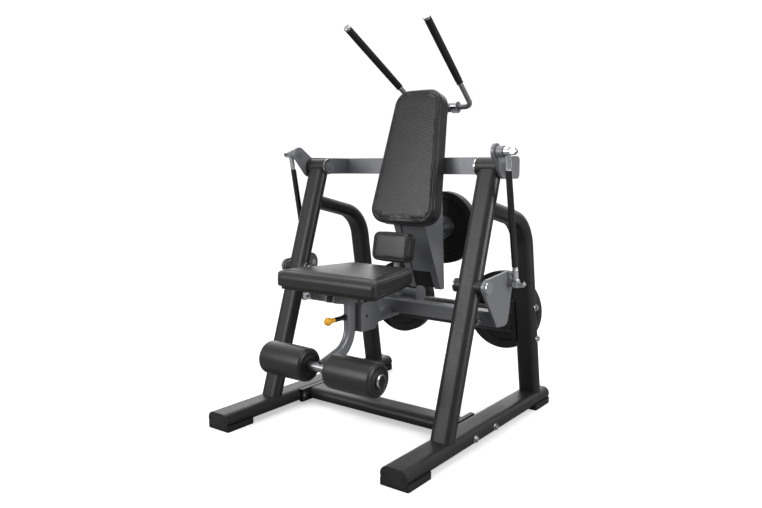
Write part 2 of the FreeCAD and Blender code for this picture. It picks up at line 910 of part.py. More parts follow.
def linkPin(crankX, y, z):
    """Pin through the crank and the rod end, with its nut outside."""
    nutX = eyeOuterX + eyeSideGap
    parts = [rodX(crankX, linkPinTipX, y, z, linkPinRadius)]
    parts.append(rodX(nutX, nutX + washerThickness, y, z, washerRadius))
    start = Vector(nutX + washerThickness, y, z)
    parts.append(hexPrism(start, alongX, linkNutAcross, linkNutLength))
    parts.append(rodX(crankX - linkPinHeadLength, crankX, y, z, linkPinHeadRadius))
    return fused(parts)


def upperLinkPins():
    return group(both(linkPin(upperCrankX, upperLinkY, upperLinkZ)))


def lowerLinkPins():
    return group(both(linkPin(lowerCrankX, lowerLinkY, lowerLinkZ)))


# ---- link rods ----
def linkEnds():
    high = Vector(linkPlaneX, upperLinkY, upperLinkZ)
    low = Vector(linkPlaneX, lowerLinkY, lowerLinkZ)
    return high, low


def rodEnd(centre, towards, boreRadius):
    """Forged eye with its threaded shank and lock nut."""
    run = (towards - centre).normalize()
    half = rodEyeWidth / 2
    eye = rodX(centre.x - half, centre.x + half, centre.y, centre.z, rodEyeRadius)
    rim = [edge for edge in eye.Edges if edge.Closed]
    eye = eye.makeChamfer(rodEyeChamfer, rim)
    nutStart = linkShankLength - lockNutLength
    shank = rod(centre, run, linkShankRadius, linkShankLength + shankGrip)
    neck = rod(centre, run, rodNeckRadius, nutStart)
    nut = hexPrism(centre + run * nutStart, run, lockNutAcross, lockNutLength)
    eye = fused([eye, shank, neck, nut])
    return eye.cut(rodX(centre.x - rodEyeWidth, centre.x + rodEyeWidth, centre.y, centre.z, boreRadius))


def rodEnds():
    high, low = linkEnds()
    top = rodEnd(high, low, linkPinRadius + runClearance)
    bottom = rodEnd(low, high, linkPinRadius + openPivotClearance)
    return group([top, bottom])


def linkTube():
    high, low = linkEnds()
    run = (low - high).normalize()
    length = (low - high).Length - 2 * linkShankLength
    start = high + run * linkShankLength
    tube = rod(start, run, linkTubeRadius, length)
    return tube.cut(rod(start, run, linkShankRadius, length))


# ---- torso arm ----
def yokeShape(shrink):
    """Centre beam, two legs running forward and the stubs to the cranks."""
    z0 = yokeMidZ - yokeHeight / 2 + shrink
    z1 = yokeMidZ + yokeHeight / 2 - shrink
    outerX = yokeLegInnerX + yokeLegWidth - shrink
    backY = yokeFrontY + yokeDepth - shrink
    beam = box(-outerX, outerX, yokeFrontY + shrink, backY, z0, z1)
    stubFront = yokeStubY - yokeDepth / 2 + shrink
    leg = box(yokeLegInnerX + shrink, outerX, stubFront, backY, z0, z1)
    stub = box(outerX, upperCrankX, stubFront, yokeStubY + yokeDepth / 2 - shrink, z0, z1)
    return fused([beam, leg, mirrored(leg), stub, mirrored(stub)])


def yokeBeam():
    return yokeShape(0).cut(yokeShape(yokeWall))


def leanPoint(up, back):
    """Point on the middle plane, measured along and behind the pad's front face."""
    y = backPadFootY + up * tiltSin + back * tiltCos
    z = backPadFootZ + up * tiltCos - back * tiltSin
    return Vector(0, y, z)


def padOutline(lowHalf, highHalf, height, corner, inset):
    r = corner - inset
    lowX = lowHalf - corner
    highX = highHalf - corner
    low = corner
    high = height - corner
    return roundedOutline([(-lowX, low, r), (lowX, low, r), (highX, high, r), (-highX, high, r)])


def slab(outline, depth0, depth1, placement):
    """Flat slab between two depths behind the leaning front face."""
    shape = Part.Face(outline).extrude(Vector(0, 0, depth0 - depth1))
    shape.translate(Vector(0, 0, -depth0))
    shape.Placement = placement.multiply(shape.Placement)
    return shape


def softPad(outline, thickness, edgeRound, placement):
    """Cushion: a slab whose front edge is rounded."""
    shape = Part.Face(outline).extrude(Vector(0, 0, -thickness))
    front = [edge for edge in shape.Edges if all(abs(v.Z) < 0.01 for v in edge.Vertexes)]
    shape = shape.makeFillet(edgeRound, front)
    shape.Placement = placement.multiply(shape.Placement)
    return shape


def backPad():
    outline = padOutline(backPadLowHalf, backPadHighHalf, backPadLength, backPadCorner, 0)
    place = leanPlacement(backPadFootY, backPadFootZ, padTilt)
    return softPad(outline, backPadThickness, padEdgeRound, place)


def backBoard():
    outline = padOutline(backPadLowHalf, backPadHighHalf, backPadLength, backPadCorner, boardInset)
    place = leanPlacement(backPadFootY, backPadFootZ, padTilt)
    return slab(outline, backPadThickness, boardBack, place)


def sideBarCircles():
    """Corners of a side bar seen from the side: deep behind the pad, narrow at its foot."""
    r = sideBarCorner
    top = leanPoint(sideBarUp, boardBack + boardGap)
    low = leanPoint(0, boardBack + boardGap)
    inward = r / tiltCos
    return [
        (top.y + inward, top.z, r), (low.y + inward, low.z, r),
        (sideBarFootY - sideBarFootDepth / 2, sideBarFootZ, r),
        (sideBarFootY + sideBarFootDepth / 2, sideBarFootZ, r),
        (top.y + sideBarTopDepth, top.z, r)]


def sideBarShape(x0, x1, shrink):
    return sidePlate(outlineOffset(sideBarCircles(), shrink), x0, x1 - x0)


def sideBars():
    """Two hollow welded bars, one each side of the spine."""
    x0 = spineWidth / 2 + sideBarGap
    x1 = x0 + sideBarThickness
    bar = sideBarShape(x0, x1, 0)
    bar = bar.cut(sideBarShape(x0 + sideBarWall, x1 - sideBarWall, sideBarWall))
    return group(both(largestSolid(bar.cut(yokeShape(0)))))


def betweenBars(depth, z0, z1):
    """Bent strip between the side bars that follows their front edges."""
    half = spineWidth / 2
    front = sideBarShape(-half, half, 0)
    behind = front.copy()
    front.translate(alongY * spineInset)
    behind.translate(alongY * (spineInset + depth))
    room = box(-half, half, backPadFootY, sideBarFootY + sideBarFootDepth, z0, z1)
    return largestSolid(front.cut(behind).common(room))


def backSpine():
    """Bent plate between the side bars, from the yoke down past the pad."""
    top = leanPoint(sideBarUp, boardBack).z - spineInset
    return largestSolid(betweenBars(spineThickness, spineBottomZ, top).cut(yokeShape(0)))


def spineBumper():
    """Rubber buffer between the feet of the side bars, below the spine."""
    return betweenBars(bumperDepth, sideBarFootZ, spineBottomZ)


def hornRoot():
    """Cross block between the side bars that carries the working horn."""
    half = spineWidth / 2 + sideBarGap
    top = leanPoint(sideBarUp, boardBack + boardGap)
    backTopY = top.y + sideBarTopDepth
    backFootY = sideBarFootY + sideBarFootDepth / 2
    share = (workHornZ - sideBarFootZ) / (top.z - sideBarFootZ)
    back = backFootY + (backTopY - backFootY) * share - hornRootForward
    return box(
        -half, half, back - hornRootDepth, back, workHornZ - hornRootDrop, workHornZ + hornRootRise)


def workHorn():
    root = hornRoot()
    horn = weightHorn(0, workHornZ, root.BoundBox.YMax, workPlateY)
    return fused([root, horn])


def handleMast():
    """Round mast from the yoke up and back to the short handle cross tube."""
    foot = Vector(0, yokeFrontY + yokeDepth / 2, yokeMidZ)
    run = Vector(0, handleTubeY, handleTubeZ) - foot
    mast = rod(foot, run, mastRadius, run.Length).cut(rod(foot, run, mastRadius - mastWall, run.Length))
    cross = rodX(-handleTubeHalf, handleTubeHalf, handleTubeY, handleTubeZ, handleTubeRadius)
    mast = largestSolid(mast.cut(cross).cut(yokeShape(0)))
    mast = mast.fuse(cross).removeSplitter()
    bore = rodX(
        -handleTubeHalf - 1, handleTubeHalf + 1, handleTubeY, handleTubeZ,
        handleRodRadius + runClearance)
    return mast.cut(bore)


# ---- handles ----
def gripRun():
    """Start of the grip, end of the bar and their direction, in line with the bar's elbow."""
    elbow = Vector(handleElbowX, handleTubeY, handleTubeZ)
    run = (Vector(*gripAim) - elbow).normalize()
    start = elbow + run * gripFromElbow
    return start, start + run * (gripLength + capPocket), run


def handleRod():
    """Spigot, collar, sideways run, elbow and the straight under the grip."""
    start, end, run = gripRun()
    elbow = Vector(handleElbowX, handleTubeY, handleTubeZ)
    points = [Vector(handleSpigotStart, handleTubeY, handleTubeZ), elbow, end]
    bar = bentRod(points, handleBendRadius, handleRodRadius)
    bar = bar.cut(bentRod(points, handleBendRadius, handleRodRadius - handleRodWall))
    collarStart = handleTubeHalf + collarGap
    collar = rodX(collarStart, collarStart + collarLength, handleTubeY, handleTubeZ, collarRadius)
    collar = collar.makeChamfer(collarChamfer, [edge for edge in collar.Edges if edge.Closed])
    return fused([bar, collar])


def handleGrip():
    start, end, run = gripRun()
    grip = rod(start, run, gripRadius, gripLength)
    return grip.cut(rod(start, run, handleRodRadius + gripGlueGap, gripLength))


def gripCap():
    start, end, run = gripRun()
    base = start + run * gripLength
    cap = rod(base, run, gripCapRadius, gripCapLength)
    tip = [edge for edge in cap.Edges if edge.Closed and (edge.CenterOfMass - base).Length > 1]
    cap = cap.makeFillet(gripCapRound, tip)
    ring = rod(start - run * gripRingLength, run, gripCapRadius, gripRingLength)
    return group([cap.cut(handleRod()), ring.cut(handleRod())])


# ---- weight plates ----
def weightPlate(x, z, frontY, radius):
    """Cast plate: raised rim and hub with a thinner web between them."""
    bore = hornRadius + plateBoreClearance
    rimEdge = radius - plateRimWidth
    recess = (plateThickness - plateWeb) / 2
    half = [
        (bore, 0), (plateHubRadius, 0), (plateHubRadius + plateSlope, recess),
        (rimEdge - plateSlope, recess), (rimEdge, 0), (radius - plateChamfer, 0), (radius, plateChamfer)]
    points = [Vector(r, y, 0) for r, y in half]
    points += [Vector(r, plateThickness - y, 0) for r, y in reversed(half)]
    face = Part.Face(Part.makePolygon(points + [points[0]]))
    disc = face.revolve(Vector(0, 0, 0), alongY, 360)
    disc.translate(Vector(x, frontY, z))
    return disc


# ---- seat carriage ----
def lowerBeamBar(shrink):
    half = lowerBeamSize / 2 - shrink
    return box(
        -lowerCrankX, lowerCrankX, lowerBeamY - half, lowerBeamY + half, lowerBeamZ - half, lowerBeamZ + half)


def lowerBeam():
    outer = lowerBeamBar(0)
    edges = [edge for edge in outer.Edges if abs(edge.tangentAt(edge.FirstParameter).x) > 0.9]
    return outer.makeFillet(lowerBeamCorner, edges).cut(lowerBeamBar(lowerBeamWall))


def seatArmPoint(y):
    """Point on the middle line of the arm under the seat."""
    return Vector(0, y, seatArmZ + (y - seatArmFrontY) * seatArmSlope)


def seatArmBar():
    return ovalBar(
        seatArmPoint(seatArmFrontY), seatArmPoint(lowerBeamBackY), alongX, seatArmWidth, seatArmHeight)


def seatArm():
    """Flat-oval arm under the seat, welded to the beam."""
    bar = ovalTube(
        seatArmPoint(seatArmFrontY), seatArmPoint(lowerBeamBackY), alongX,
        seatArmWidth, seatArmHeight, tubeWall)
    return largestSolid(bar.cut(lowerBeamBar(0)))


def cheekPlate():
    """Right cheek of the seat bracket."""
    r = cheekCorner
    front = guideFrontY + cheekFrontGap
    low = cheekBottomZ + r
    high = cheekTopZ - r
    outline = [
        (front, low, r), (cheekBackY - cheekHeelForward, low, r), (cheekBackY - r, low + cheekHeelRise, r),
        (cheekBackY - cheekHeadForward, high, r), (front, high, r)]
    plate = sidePlate(outline, cheekHalf, cheekThickness)
    outer = cheekHalf + cheekThickness
    return plate.cut(rodX(cheekHalf - 1, outer + 1, cheekHoleY, cheekHoleZ, cheekHoleRadius))


def gussetPlate():
    """Right gusset in front of the leg tube, under the seat plate."""
    r = gussetCorner
    nose = bracketPlateFrontY + r
    back = guideFrontY - gussetGap - r
    high = bracketPlateZ - r
    outline = [
        (nose, bracketPlateZ - gussetNoseDepth, r), (gussetHeelY, bracketPlateZ - gussetDepth + r, r),
        (back, bracketPlateZ - gussetDepth + r, r), (back, high, r), (nose, high, r)]
    return sidePlate(outline, legTubeWidth / 2 + gussetGap, gussetThickness)


def seatBracket():
    """Cheeks, guide block behind the leg tube, front gussets and top plate."""
    back = guideFrontY + guideDepth
    guide = box(-cheekHalf, cheekHalf, guideFrontY, back, guideBottomZ, bracketPlateZ)
    slotHalf = pinRadius + pinSlotMargin
    guide = guide.cut(box(
        -slotHalf, slotHalf, guideFrontY - 1, guideFrontY + guideSlotDepth,
        pinZ - legTravel - slotHalf, pinZ + slotHalf))
    filler = box(-cheekHalf, cheekHalf, back, seatArmFrontY, guideBottomZ, seatArmZ)
    top = box(
        -bracketPlateHalf, bracketPlateHalf, bracketPlateFrontY, bracketPlateBackY,
        bracketPlateZ, bracketTopZ)
    riser = box(-cheekHalf, cheekHalf, riserBackY - riserDepth, riserBackY, seatArmZ, bracketPlateZ)
    plates = both(cheekPlate()) + both(gussetPlate())
    noses = box(-cheekHalf, cheekHalf, guideFrontY - gussetGap - gussetCorner, guideFrontY,
                bracketPlateZ - gussetCorner, bracketPlateZ)
    whole = fused([guide, filler, top, riser, noses] + plates)
    return whole.cut(seatArmBar())


def seatOutline(inset):
    r = seatCorner - inset
    frontX = seatFrontHalf - seatCorner
    backX = seatBackHalf - seatCorner
    y0 = seatFrontY + seatCorner
    y1 = seatBackY - seatCorner
    return roundedOutline([(-frontX, y0, r), (frontX, y0, r), (backX, y1, r), (-backX, y1, r)])


def seatBoard():
    board = Part.Face(seatOutline(seatBoardInset)).extrude(alongZ * seatBoardThickness)
    board.translate(alongZ * (seatBottomZ - seatBoardThickness))
    return board


def seatPad():
    height = seatTopZ - seatBottomZ
    pad = Part.Face(seatOutline(0)).extrude(alongZ * height)
    top = [edge for edge in pad.Edges if all(abs(v.Z - height) < 0.01 for v in edge.Vertexes)]
    pad = pad.makeFillet(seatEdgeRound, top)
    pad.translate(alongZ * seatBottomZ)
    return pad


def lumbarOutline(inset):
    r = lumbarCorner - inset
    x = lumbarHalf - lumbarCorner
    low = lumbarCorner
    high = lumbarHeight - lumbarCorner
    return roundedOutline([(-x, low, r), (x, low, r), (x, high, r), (-x, high, r)])


def lumbarPad():
    place = leanPlacement(lumbarFootY, lumbarFootZ, lumbarTilt)
    return softPad(lumbarOutline(0), lumbarThickness, padEdgeRound, place)


def lumbarBoard():
    place = leanPlacement(lumbarFootY, lumbarFootZ, lumbarTilt)
    return slab(lumbarOutline(lumbarBoardInset), lumbarThickness, lumbarThickness + boardThickness, place)


def lumbarBracket():
    """Cross tube with two round end discs, and the post up to the board."""
    cross = rodX(-hingeDiscHalf, hingeDiscHalf, hingeDiscY, hingeDiscZ, hingeTubeRadius)
    disc = rodX(hingeDiscHalf, hingeDiscHalf + hingeDiscThickness, hingeDiscY, hingeDiscZ, hingeDiscRadius)
    lean = (lumbarPostTopZ - hingeDiscZ) * math.tan(math.radians(lumbarTilt))
    backY = lumbarFootY + (lumbarThickness + boardThickness) / math.cos(math.radians(lumbarTilt))
    topY = backY + (lumbarPostTopZ - lumbarFootZ) * math.tan(math.radians(lumbarTilt))
    post = ovalBar(
        Vector(0, topY - lean, hingeDiscZ), Vector(0, topY, lumbarPostTopZ), alongX,
        lumbarPostWidth, lumbarPostDepth)
    lug = box(
        -hingeLugHalf, hingeLugHalf, lowerBeamY, hingeDiscY, lowerBeamZ + lowerBeamSize / 2, hingeDiscZ)
    whole = fused([cross, disc, mirrored(disc), post, lug])
    return whole.cut(lowerBeamBar(0)).cut(lumbarBoard()).cut(seatArmBar())


def travelStops():
    """Cup-headed stop bolts with their nuts, facing the uprights."""
    foot = Vector(sideX, lowerBeamFrontY, stopZ)
    shank = rod(foot, -alongY, stopShankRadius, stopReach)
    nut = hexPrism(foot, -alongY, stopNutAcross, stopNutLength)
    headStart = foot - alongY * (stopReach - stopHeadLength)
    head = rod(headStart, -alongY, stopHeadRadius, stopHeadLength)
    cupStart = foot - alongY * (stopReach - stopCupDepth)
    cup = rod(cupStart, -alongY, stopCupRadius, stopCupDepth)
    return group(both(fused([shank, nut, head]).cut(cup)))


def armBolts():
    """Two bolts up through the underside of the seat arm."""
    shapes = []
    for step in (0, 1):
        place = seatArmPoint(seatArmFrontY + armBoltForward + step * armBoltPitch)
        under = place - alongZ * (seatArmHeight / 2 + armBoltSunk)
        shapes.append(hexPrism(under, -alongZ, armBoltAcross, armBoltHeight))
    return group(shapes)


# ---- leg frame, rollers and pull pin ----
def legPoints():
    drop = math.tan(math.radians(legTubeDrop))
    knee = Vector(0, legTubeY, rollerZ + (legTubeY - rollerY) * drop)
    return [Vector(0, legTubeY, legTubeTopZ), knee, Vector(0, rollerY, rollerZ)]


def legTubeBar(shrink):
    return bentOvalBarX(
        legPoints(), legTubeBendRadius, legTubeWidth - 2 * shrink, legTubeDepth - 2 * shrink)


def legTube():
    tube = legTubeBar(0).cut(legTubeBar(tubeWall))
    axle = rodX(-axleSaddleHalf, axleSaddleHalf, rollerY, rollerZ, axleRadius)
    tube = largestSolid(tube.cut(axle))
    pin = rod(Vector(0, legTubeY - legTubeDepth, pinZ), alongY, pinRadius + pinClearance, 2 * legTubeDepth)
    return tube.cut(pin)


def bentOvalBarX(points, radius, width, depth):
    """Bar bent in the YZ plane, its narrow side along X."""
    path = roundedPath(points, radius)
    run = (points[1] - points[0]).normalize()
    profile = flatOval(points[0], run.cross(alongX), alongX, depth, width)
    shell = Part.BRepOffsetAPI.MakePipeShell(path)
    shell.setBiNormalMode(alongX)
    shell.add(profile)
    shell.build()
    shell.makeSolid()
    return shell.shape()


def rollerAxle():
    end = rollerOuterX + rollerEndGap
    return ringX(-end, end, rollerY, rollerZ, axleRadius, axleRadius - axleWall)


def axleCaps():
    start = rollerOuterX + rollerEndGap
    cap = rodX(start, start + axleCapLength, rollerY, rollerZ, axleCapRadius)
    rim = [edge for edge in cap.Edges if edge.Closed and edge.CenterOfMass.x > start + 1]
    return group(both(cap.makeFillet(axleCapRound, rim)))


def rollerPad():
    foam = ringX(rollerInnerX, rollerOuterX, rollerY, rollerZ, rollerRadius, rollerSleeveRadius)
    rims = [edge for edge in foam.Edges if edge.Closed and edge.BoundBox.ZLength > 2 * rollerRadius - 1]
    return foam.makeFillet(rollerRimRound, rims)


def rollerCore():
    """Plastic sleeve in the foam that turns on the axle."""
    bore = axleRadius + rollerBoreClearance
    return ringX(rollerInnerX, rollerOuterX, rollerY, rollerZ, rollerSleeveRadius, bore)


def plungerBarrel():
    front = legTubeY - legTubeDepth / 2
    barrel = rod(
        Vector(0, front - pinBarrelLength, pinZ), alongY, pinBarrelRadius, pinBarrelLength + tubeWall)
    nut = hexPrism(Vector(0, front - barrelNutLength, pinZ), alongY, barrelNutAcross, barrelNutLength)
    barrel = fused([barrel, nut]).cut(legTubeBar(0))
    bore = pinRadius + pinClearance
    return barrel.cut(rod(Vector(0, front - 2 * pinBarrelLength, pinZ), alongY, bore, 4 * pinBarrelLength))


def pullPin():
    front = legTubeY - legTubeDepth / 2 - pinBarrelLength - pinShankInKnob
    tip = guideFrontY + pinHold
    return rod(Vector(0, front, pinZ), alongY, pinRadius, tip - front)


def pullKnob():
    """Round knob with a waist, on the front end of the pin."""
    front = legTubeY - legTubeDepth / 2 - pinBarrelLength - knobGap
    ballY = knobRadius - knobLength
    half = [
        (0.0, 0.0), (knobNeckRadius, 0.0), (knobNeckRadius, -knobNeckRadius),
        (knobWaistRadius, ballY + knobRadius)]
    points = [Vector(r, y, 0) for r, y in half]
    waistRise = math.sqrt(knobRadius ** 2 - knobWaistRadius ** 2)
    start = Vector(knobWaistRadius, ballY + waistRise, 0)
    side = Vector(knobRadius, ballY, 0)
    tip = Vector(0, ballY - knobRadius, 0)
    edges = [Part.makeLine(a, b) for a, b in zip(points[:-1], points[1:-1] + [start])]
    edges.append(Part.Arc(start, side, tip).toShape())
    edges.append(Part.makeLine(tip, points[0]))
    face = Part.Face(Part.Wire(edges))
    knob = face.revolve(Vector(0, 0, 0), alongY, 360)
    knob.translate(Vector(0, front, pinZ))
    return knob.cut(pullPin())


# ---- output ----
def save(name, shape):
    placed = shape.copy()
    placed.translate(Vector(0, frontShift, 0))
    placed.exportStep("parts/" + name + ".step")


def savePair(name, shape):
    save(name + "_right", shape)
    save(name + "_left", mirrored(shape))


def main():
    os.makedirs("parts", exist_ok=True)
    save("base_rails", group(both(baseRail())))
    save("rail_end_caps", railCaps())
    save("rubber_feet", rubberFeet())
    save("front_uprights", group(both(frontUpright())))
    savePair("rear_post", rearPost())
    save("base_cross_tube", baseCrossTube())
    save("rear_cross_tube", rearCrossTube())
    save("frame_fasteners", frameFasteners())
    save("storage_horns", storageHorns())
    save("pivot_housings", group(both(upperHousing()) + both(lowerHousing())))
    save("pivot_bearings", pivotBearings())
    save("bearing_rings", bearingRings())
    save("upper_shafts", upperShafts())
    save("lower_shafts", lowerShafts())
    save("upper_cranks", group(both(upperCrank())))
    save("lower_cranks", group(both(lowerCrank())))
    save("upper_link_pins", upperLinkPins())
    save("lower_link_pins", lowerLinkPins())
    savePair("link_tube", linkTube())
    savePair("rod_ends", rodEnds())
    save("yoke_beam", yokeBeam())
    save("back_spine", backSpine())
    save("spine_bumper", spineBumper())
    save("side_bars", sideBars())
    save("work_horn", workHorn())
    save("handle_mast", handleMast())
    save("backrest_board", backBoard())
    save("backrest_pad", backPad())
    savePair("handle_rod", handleRod())
    savePair("handle_grip", handleGrip())
    savePair("grip_cap", gripCap())
    save("weight_plate_work", weightPlate(0, workHornZ, workPlateY, workPlateRadius))
    savePair("weight_plate", weightPlate(storageHornX, storageHornZ, storagePlateY, plateRadius))
    save("lower_beam", lowerBeam())
    save("seat_arm", seatArm())
    save("seat_bracket", seatBracket())
    save("seat_board", seatBoard())
    save("seat_pad", seatPad())
    save("lumbar_bracket", lumbarBracket())
    save("lumbar_board", lumbarBoard())
    save("lumbar_pad", lumbarPad())
    save("travel_stops", travelStops())
    save("arm_bolts", armBolts())
    save("leg_tube", legTube())
    save("roller_axle", rollerAxle())
    save("axle_end_caps", axleCaps())
    savePair("roller_pad", rollerPad())
    savePair("roller_core", rollerCore())
    save("plunger_barrel", plungerBarrel())
    save("pull_pin", pullPin())
    save("pull_knob", pullKnob())


main()
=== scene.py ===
import json
import math
import bmesh
import bpy
import numpy as np
from mathutils import Matrix, Vector
from mathutils.kdtree import KDTree


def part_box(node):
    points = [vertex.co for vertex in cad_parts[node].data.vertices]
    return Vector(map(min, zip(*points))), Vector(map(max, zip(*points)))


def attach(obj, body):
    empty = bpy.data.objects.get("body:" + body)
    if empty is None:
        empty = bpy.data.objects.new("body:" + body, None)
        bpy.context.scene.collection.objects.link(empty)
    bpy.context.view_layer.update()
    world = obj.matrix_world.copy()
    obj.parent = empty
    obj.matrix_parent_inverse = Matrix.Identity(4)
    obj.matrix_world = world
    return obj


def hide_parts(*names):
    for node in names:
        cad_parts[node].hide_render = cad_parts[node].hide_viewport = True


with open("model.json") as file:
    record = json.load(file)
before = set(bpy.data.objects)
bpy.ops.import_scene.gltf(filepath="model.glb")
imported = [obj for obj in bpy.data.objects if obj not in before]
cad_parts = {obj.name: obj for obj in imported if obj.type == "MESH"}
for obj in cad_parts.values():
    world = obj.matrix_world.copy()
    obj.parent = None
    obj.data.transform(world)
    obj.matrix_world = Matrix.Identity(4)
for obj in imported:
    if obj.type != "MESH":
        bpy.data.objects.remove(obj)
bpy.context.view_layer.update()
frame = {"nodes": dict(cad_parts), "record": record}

scene = bpy.context.scene
cadNodes = frame["nodes"]
slotOfNode = {part["node"]: part["material_slot"] for part in frame["record"]["subparts"]}
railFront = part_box("rail_end_caps")[0].y
print("frame loaded:", len(cadNodes), "parts")


# colours are written as sRGB hex and turned to the linear values that shaders read
def colour(code):
    srgb = np.array([int(code[i:i + 2], 16) for i in (1, 3, 5)]) / 255
    linear = np.where(srgb <= 0.04045, srgb / 12.92, ((srgb + 0.055) / 1.055) ** 2.4)
    return (*linear.tolist(), 1.0)


# noise scale that gives features of this many millimetres, since coordinates are in metres
def perMetre(millimetres):
    return 1000 / millimetres


# adds one shader node, sets its properties and its inputs; an input may be another node's output
def addNode(tree, kind, inputs=None, **settings):
    made = tree.nodes.new(kind)
    for name, value in settings.items():
        setattr(made, name, value)
    for name, value in (inputs or {}).items():
        if isinstance(value, bpy.types.NodeSocket):
            tree.links.new(value, made.inputs[name])
        else:
            made.inputs[name].default_value = value
    return made


def startMaterial(name, sockets):
    made = bpy.data.materials.new(name)
    made.use_nodes = True
    shader = made.node_tree.nodes["Principled BSDF"]
    for socket, value in sockets.items():
        shader.inputs[socket].default_value = value
    return made, made.node_tree, shader


# blend of two colours by a noise of the given size, wired to the shader's base colour
def mottle(tree, shader, size, low, high, vector, softness=0.12):
    noise = addNode(tree, "ShaderNodeTexNoise", {"Vector": vector, "Scale": perMetre(size), "Detail": 3.0})
    spread = addNode(tree, "ShaderNodeMapRange", {
        "Value": noise.outputs["Fac"], "From Min": 0.5 - softness, "From Max": 0.5 + softness})
    mix = addNode(tree, "ShaderNodeMix", {
        0: spread.outputs["Result"], 6: colour(low), 7: colour(high)}, data_type="RGBA")
    tree.links.new(mix.outputs[2], shader.inputs["Base Color"])
    return noise


def roughen(tree, shader, size, low, high, vector):
    noise = addNode(tree, "ShaderNodeTexNoise", {"Vector": vector, "Scale": perMetre(size), "Detail": 4.0})
    spread = addNode(tree, "ShaderNodeMapRange", {
        "Value": noise.outputs["Fac"], "From Min": 0.3, "From Max": 0.7, "To Min": low, "To Max": high})
    tree.links.new(spread.outputs["Result"], shader.inputs["Roughness"])


def bumpFrom(tree, shader, height, depth, strength=1.0, under=None):
    inputs = {"Height": height, "Distance": depth, "Strength": strength}
    if under is not None:
        inputs["Normal"] = under
    bump = addNode(tree, "ShaderNodeBump", inputs)
    tree.links.new(bump.outputs["Normal"], shader.inputs["Normal"])
    return bump.outputs["Normal"]


def objectPoint(tree):
    return addNode(tree, "ShaderNodeTexCoord").outputs["Object"]


# black polyester powder coat, baked on: satin, with the faint orange peel of melted powder
powder = dict(low="#1c1c1d", high="#202021", peel=3.0, depth=0.00007)


def satinPowderCoat():
    made, tree, shader = startMaterial("satin_black_powder_coat", {"IOR": 1.5, "Specular IOR Level": 0.5})
    point = objectPoint(tree)
    mottle(tree, shader, 60, powder["low"], powder["high"], point)
    roughen(tree, shader, 12, 0.36, 0.46, point)
    peel = addNode(tree, "ShaderNodeTexNoise", {
        "Vector": point, "Scale": perMetre(powder["peel"]), "Detail": 2.0})
    bumpFrom(tree, shader, peel.outputs["Fac"], powder["depth"])
    return made


# silver-grey powder coat with aluminium flake: a soft metallic sheen that brightens where it faces light
silver = dict(low="#7f8085", high="#85868b", flake=1.6, peel=3.0)


def silverPowderCoat():
    made, tree, shader = startMaterial("silver_grey_powder_coat", {"Metallic": 0.35, "IOR": 1.5})
    point = objectPoint(tree)
    mottle(tree, shader, silver["flake"], silver["low"], silver["high"], point, 0.25)
    roughen(tree, shader, 10, 0.34, 0.42, point)
    peel = addNode(tree, "ShaderNodeTexNoise", {"Vector": point, "Scale": perMetre(silver["peel"])})
    bumpFrom(tree, shader, peel.outputs["Fac"], 0.00008)
    return made


# bright decorative chrome over nickel: mirror gloss with a few hazy handling marks
def chromePlate():
    made, tree, shader = startMaterial("chrome_plate", {
        "Metallic": 1.0, "Base Color": colour("#e2e3e6"), "Roughness": 0.12})
    point = objectPoint(tree)
    roughen(tree, shader, 14, 0.07, 0.17, point)
    return made


# cold-drawn steel, turned and ground: grey metal with fine rings round the X axis
def groundSteel():
    made, tree, shader = startMaterial("ground_steel", {
        "Metallic": 1.0, "Base Color": colour("#a9aaad"), "Roughness": 0.28})
    point = objectPoint(tree)
    # the rings are 0.05 mm apart on the real shaft and drawn at 1 mm so that they show
    stretch = addNode(tree, "ShaderNodeMapping", {"Vector": point, "Scale": (1.0, 0.02, 0.02)})
    rings = addNode(tree, "ShaderNodeTexNoise", {
        "Vector": stretch.outputs["Vector"], "Scale": perMetre(1.0), "Detail": 2.0})
    spread = addNode(tree, "ShaderNodeMapRange", {
        "Value": rings.outputs["Fac"], "To Min": 0.2, "To Max": 0.38})
    tree.links.new(spread.outputs["Result"], shader.inputs["Roughness"])
    bumpFrom(tree, shader, rings.outputs["Fac"], 0.00004)
    return made


# polished steel tube slid over the loading horn: brighter, marked along its length by sliding plates
def hornSleeve():
    made, tree, shader = startMaterial("polished_steel_sleeve", {
        "Metallic": 1.0, "Base Color": colour("#b9babd"), "Roughness": 0.2})
    point = objectPoint(tree)
    stretch = addNode(tree, "ShaderNodeMapping", {"Vector": point, "Scale": (1.0, 0.03, 1.0)})
    marks = addNode(tree, "ShaderNodeTexNoise", {
        "Vector": stretch.outputs["Vector"], "Scale": perMetre(1.5), "Detail": 3.0})
    spread = addNode(tree, "ShaderNodeMapRange", {
        "Value": marks.outputs["Fac"], "From Min": 0.3, "From Max": 0.7, "To Min": 0.14, "To Max": 0.34})
    tree.links.new(spread.outputs["Result"], shader.inputs["Roughness"])
    return made


# compression-moulded black rubber: dull, with a sandy mould texture
def mouldedRubber(name, tone, grit, depth):
    made, tree, shader = startMaterial(name, {"IOR": 1.52, "Specular IOR Level": 0.35})
    point = objectPoint(tree)
    mottle(tree, shader, 25, tone[0], tone[1], point)
    roughen(tree, shader, 8, 0.58, 0.74, point)
    sand = addNode(tree, "ShaderNodeTexNoise", {"Vector": point, "Scale": perMetre(grit), "Detail": 3.0})
    bumpFrom(tree, shader, sand.outputs["Fac"], depth)
    return made


# injection-moulded black nylon: fine spark-eroded grain, a little shinier than the rubber
def mouldedNylon(name):
    made, tree, shader = startMaterial(name, {"IOR": 1.53})
    point = objectPoint(tree)
    mottle(tree, shader, 30, "#19191a", "#1f1f20", point)
    roughen(tree, shader, 10, 0.42, 0.52, point)
    grain = addNode(tree, "ShaderNodeTexVoronoi", {"Vector": point, "Scale": perMetre(1.4)})
    bumpFrom(tree, shader, grain.outputs["Distance"], 0.00006)
    return made


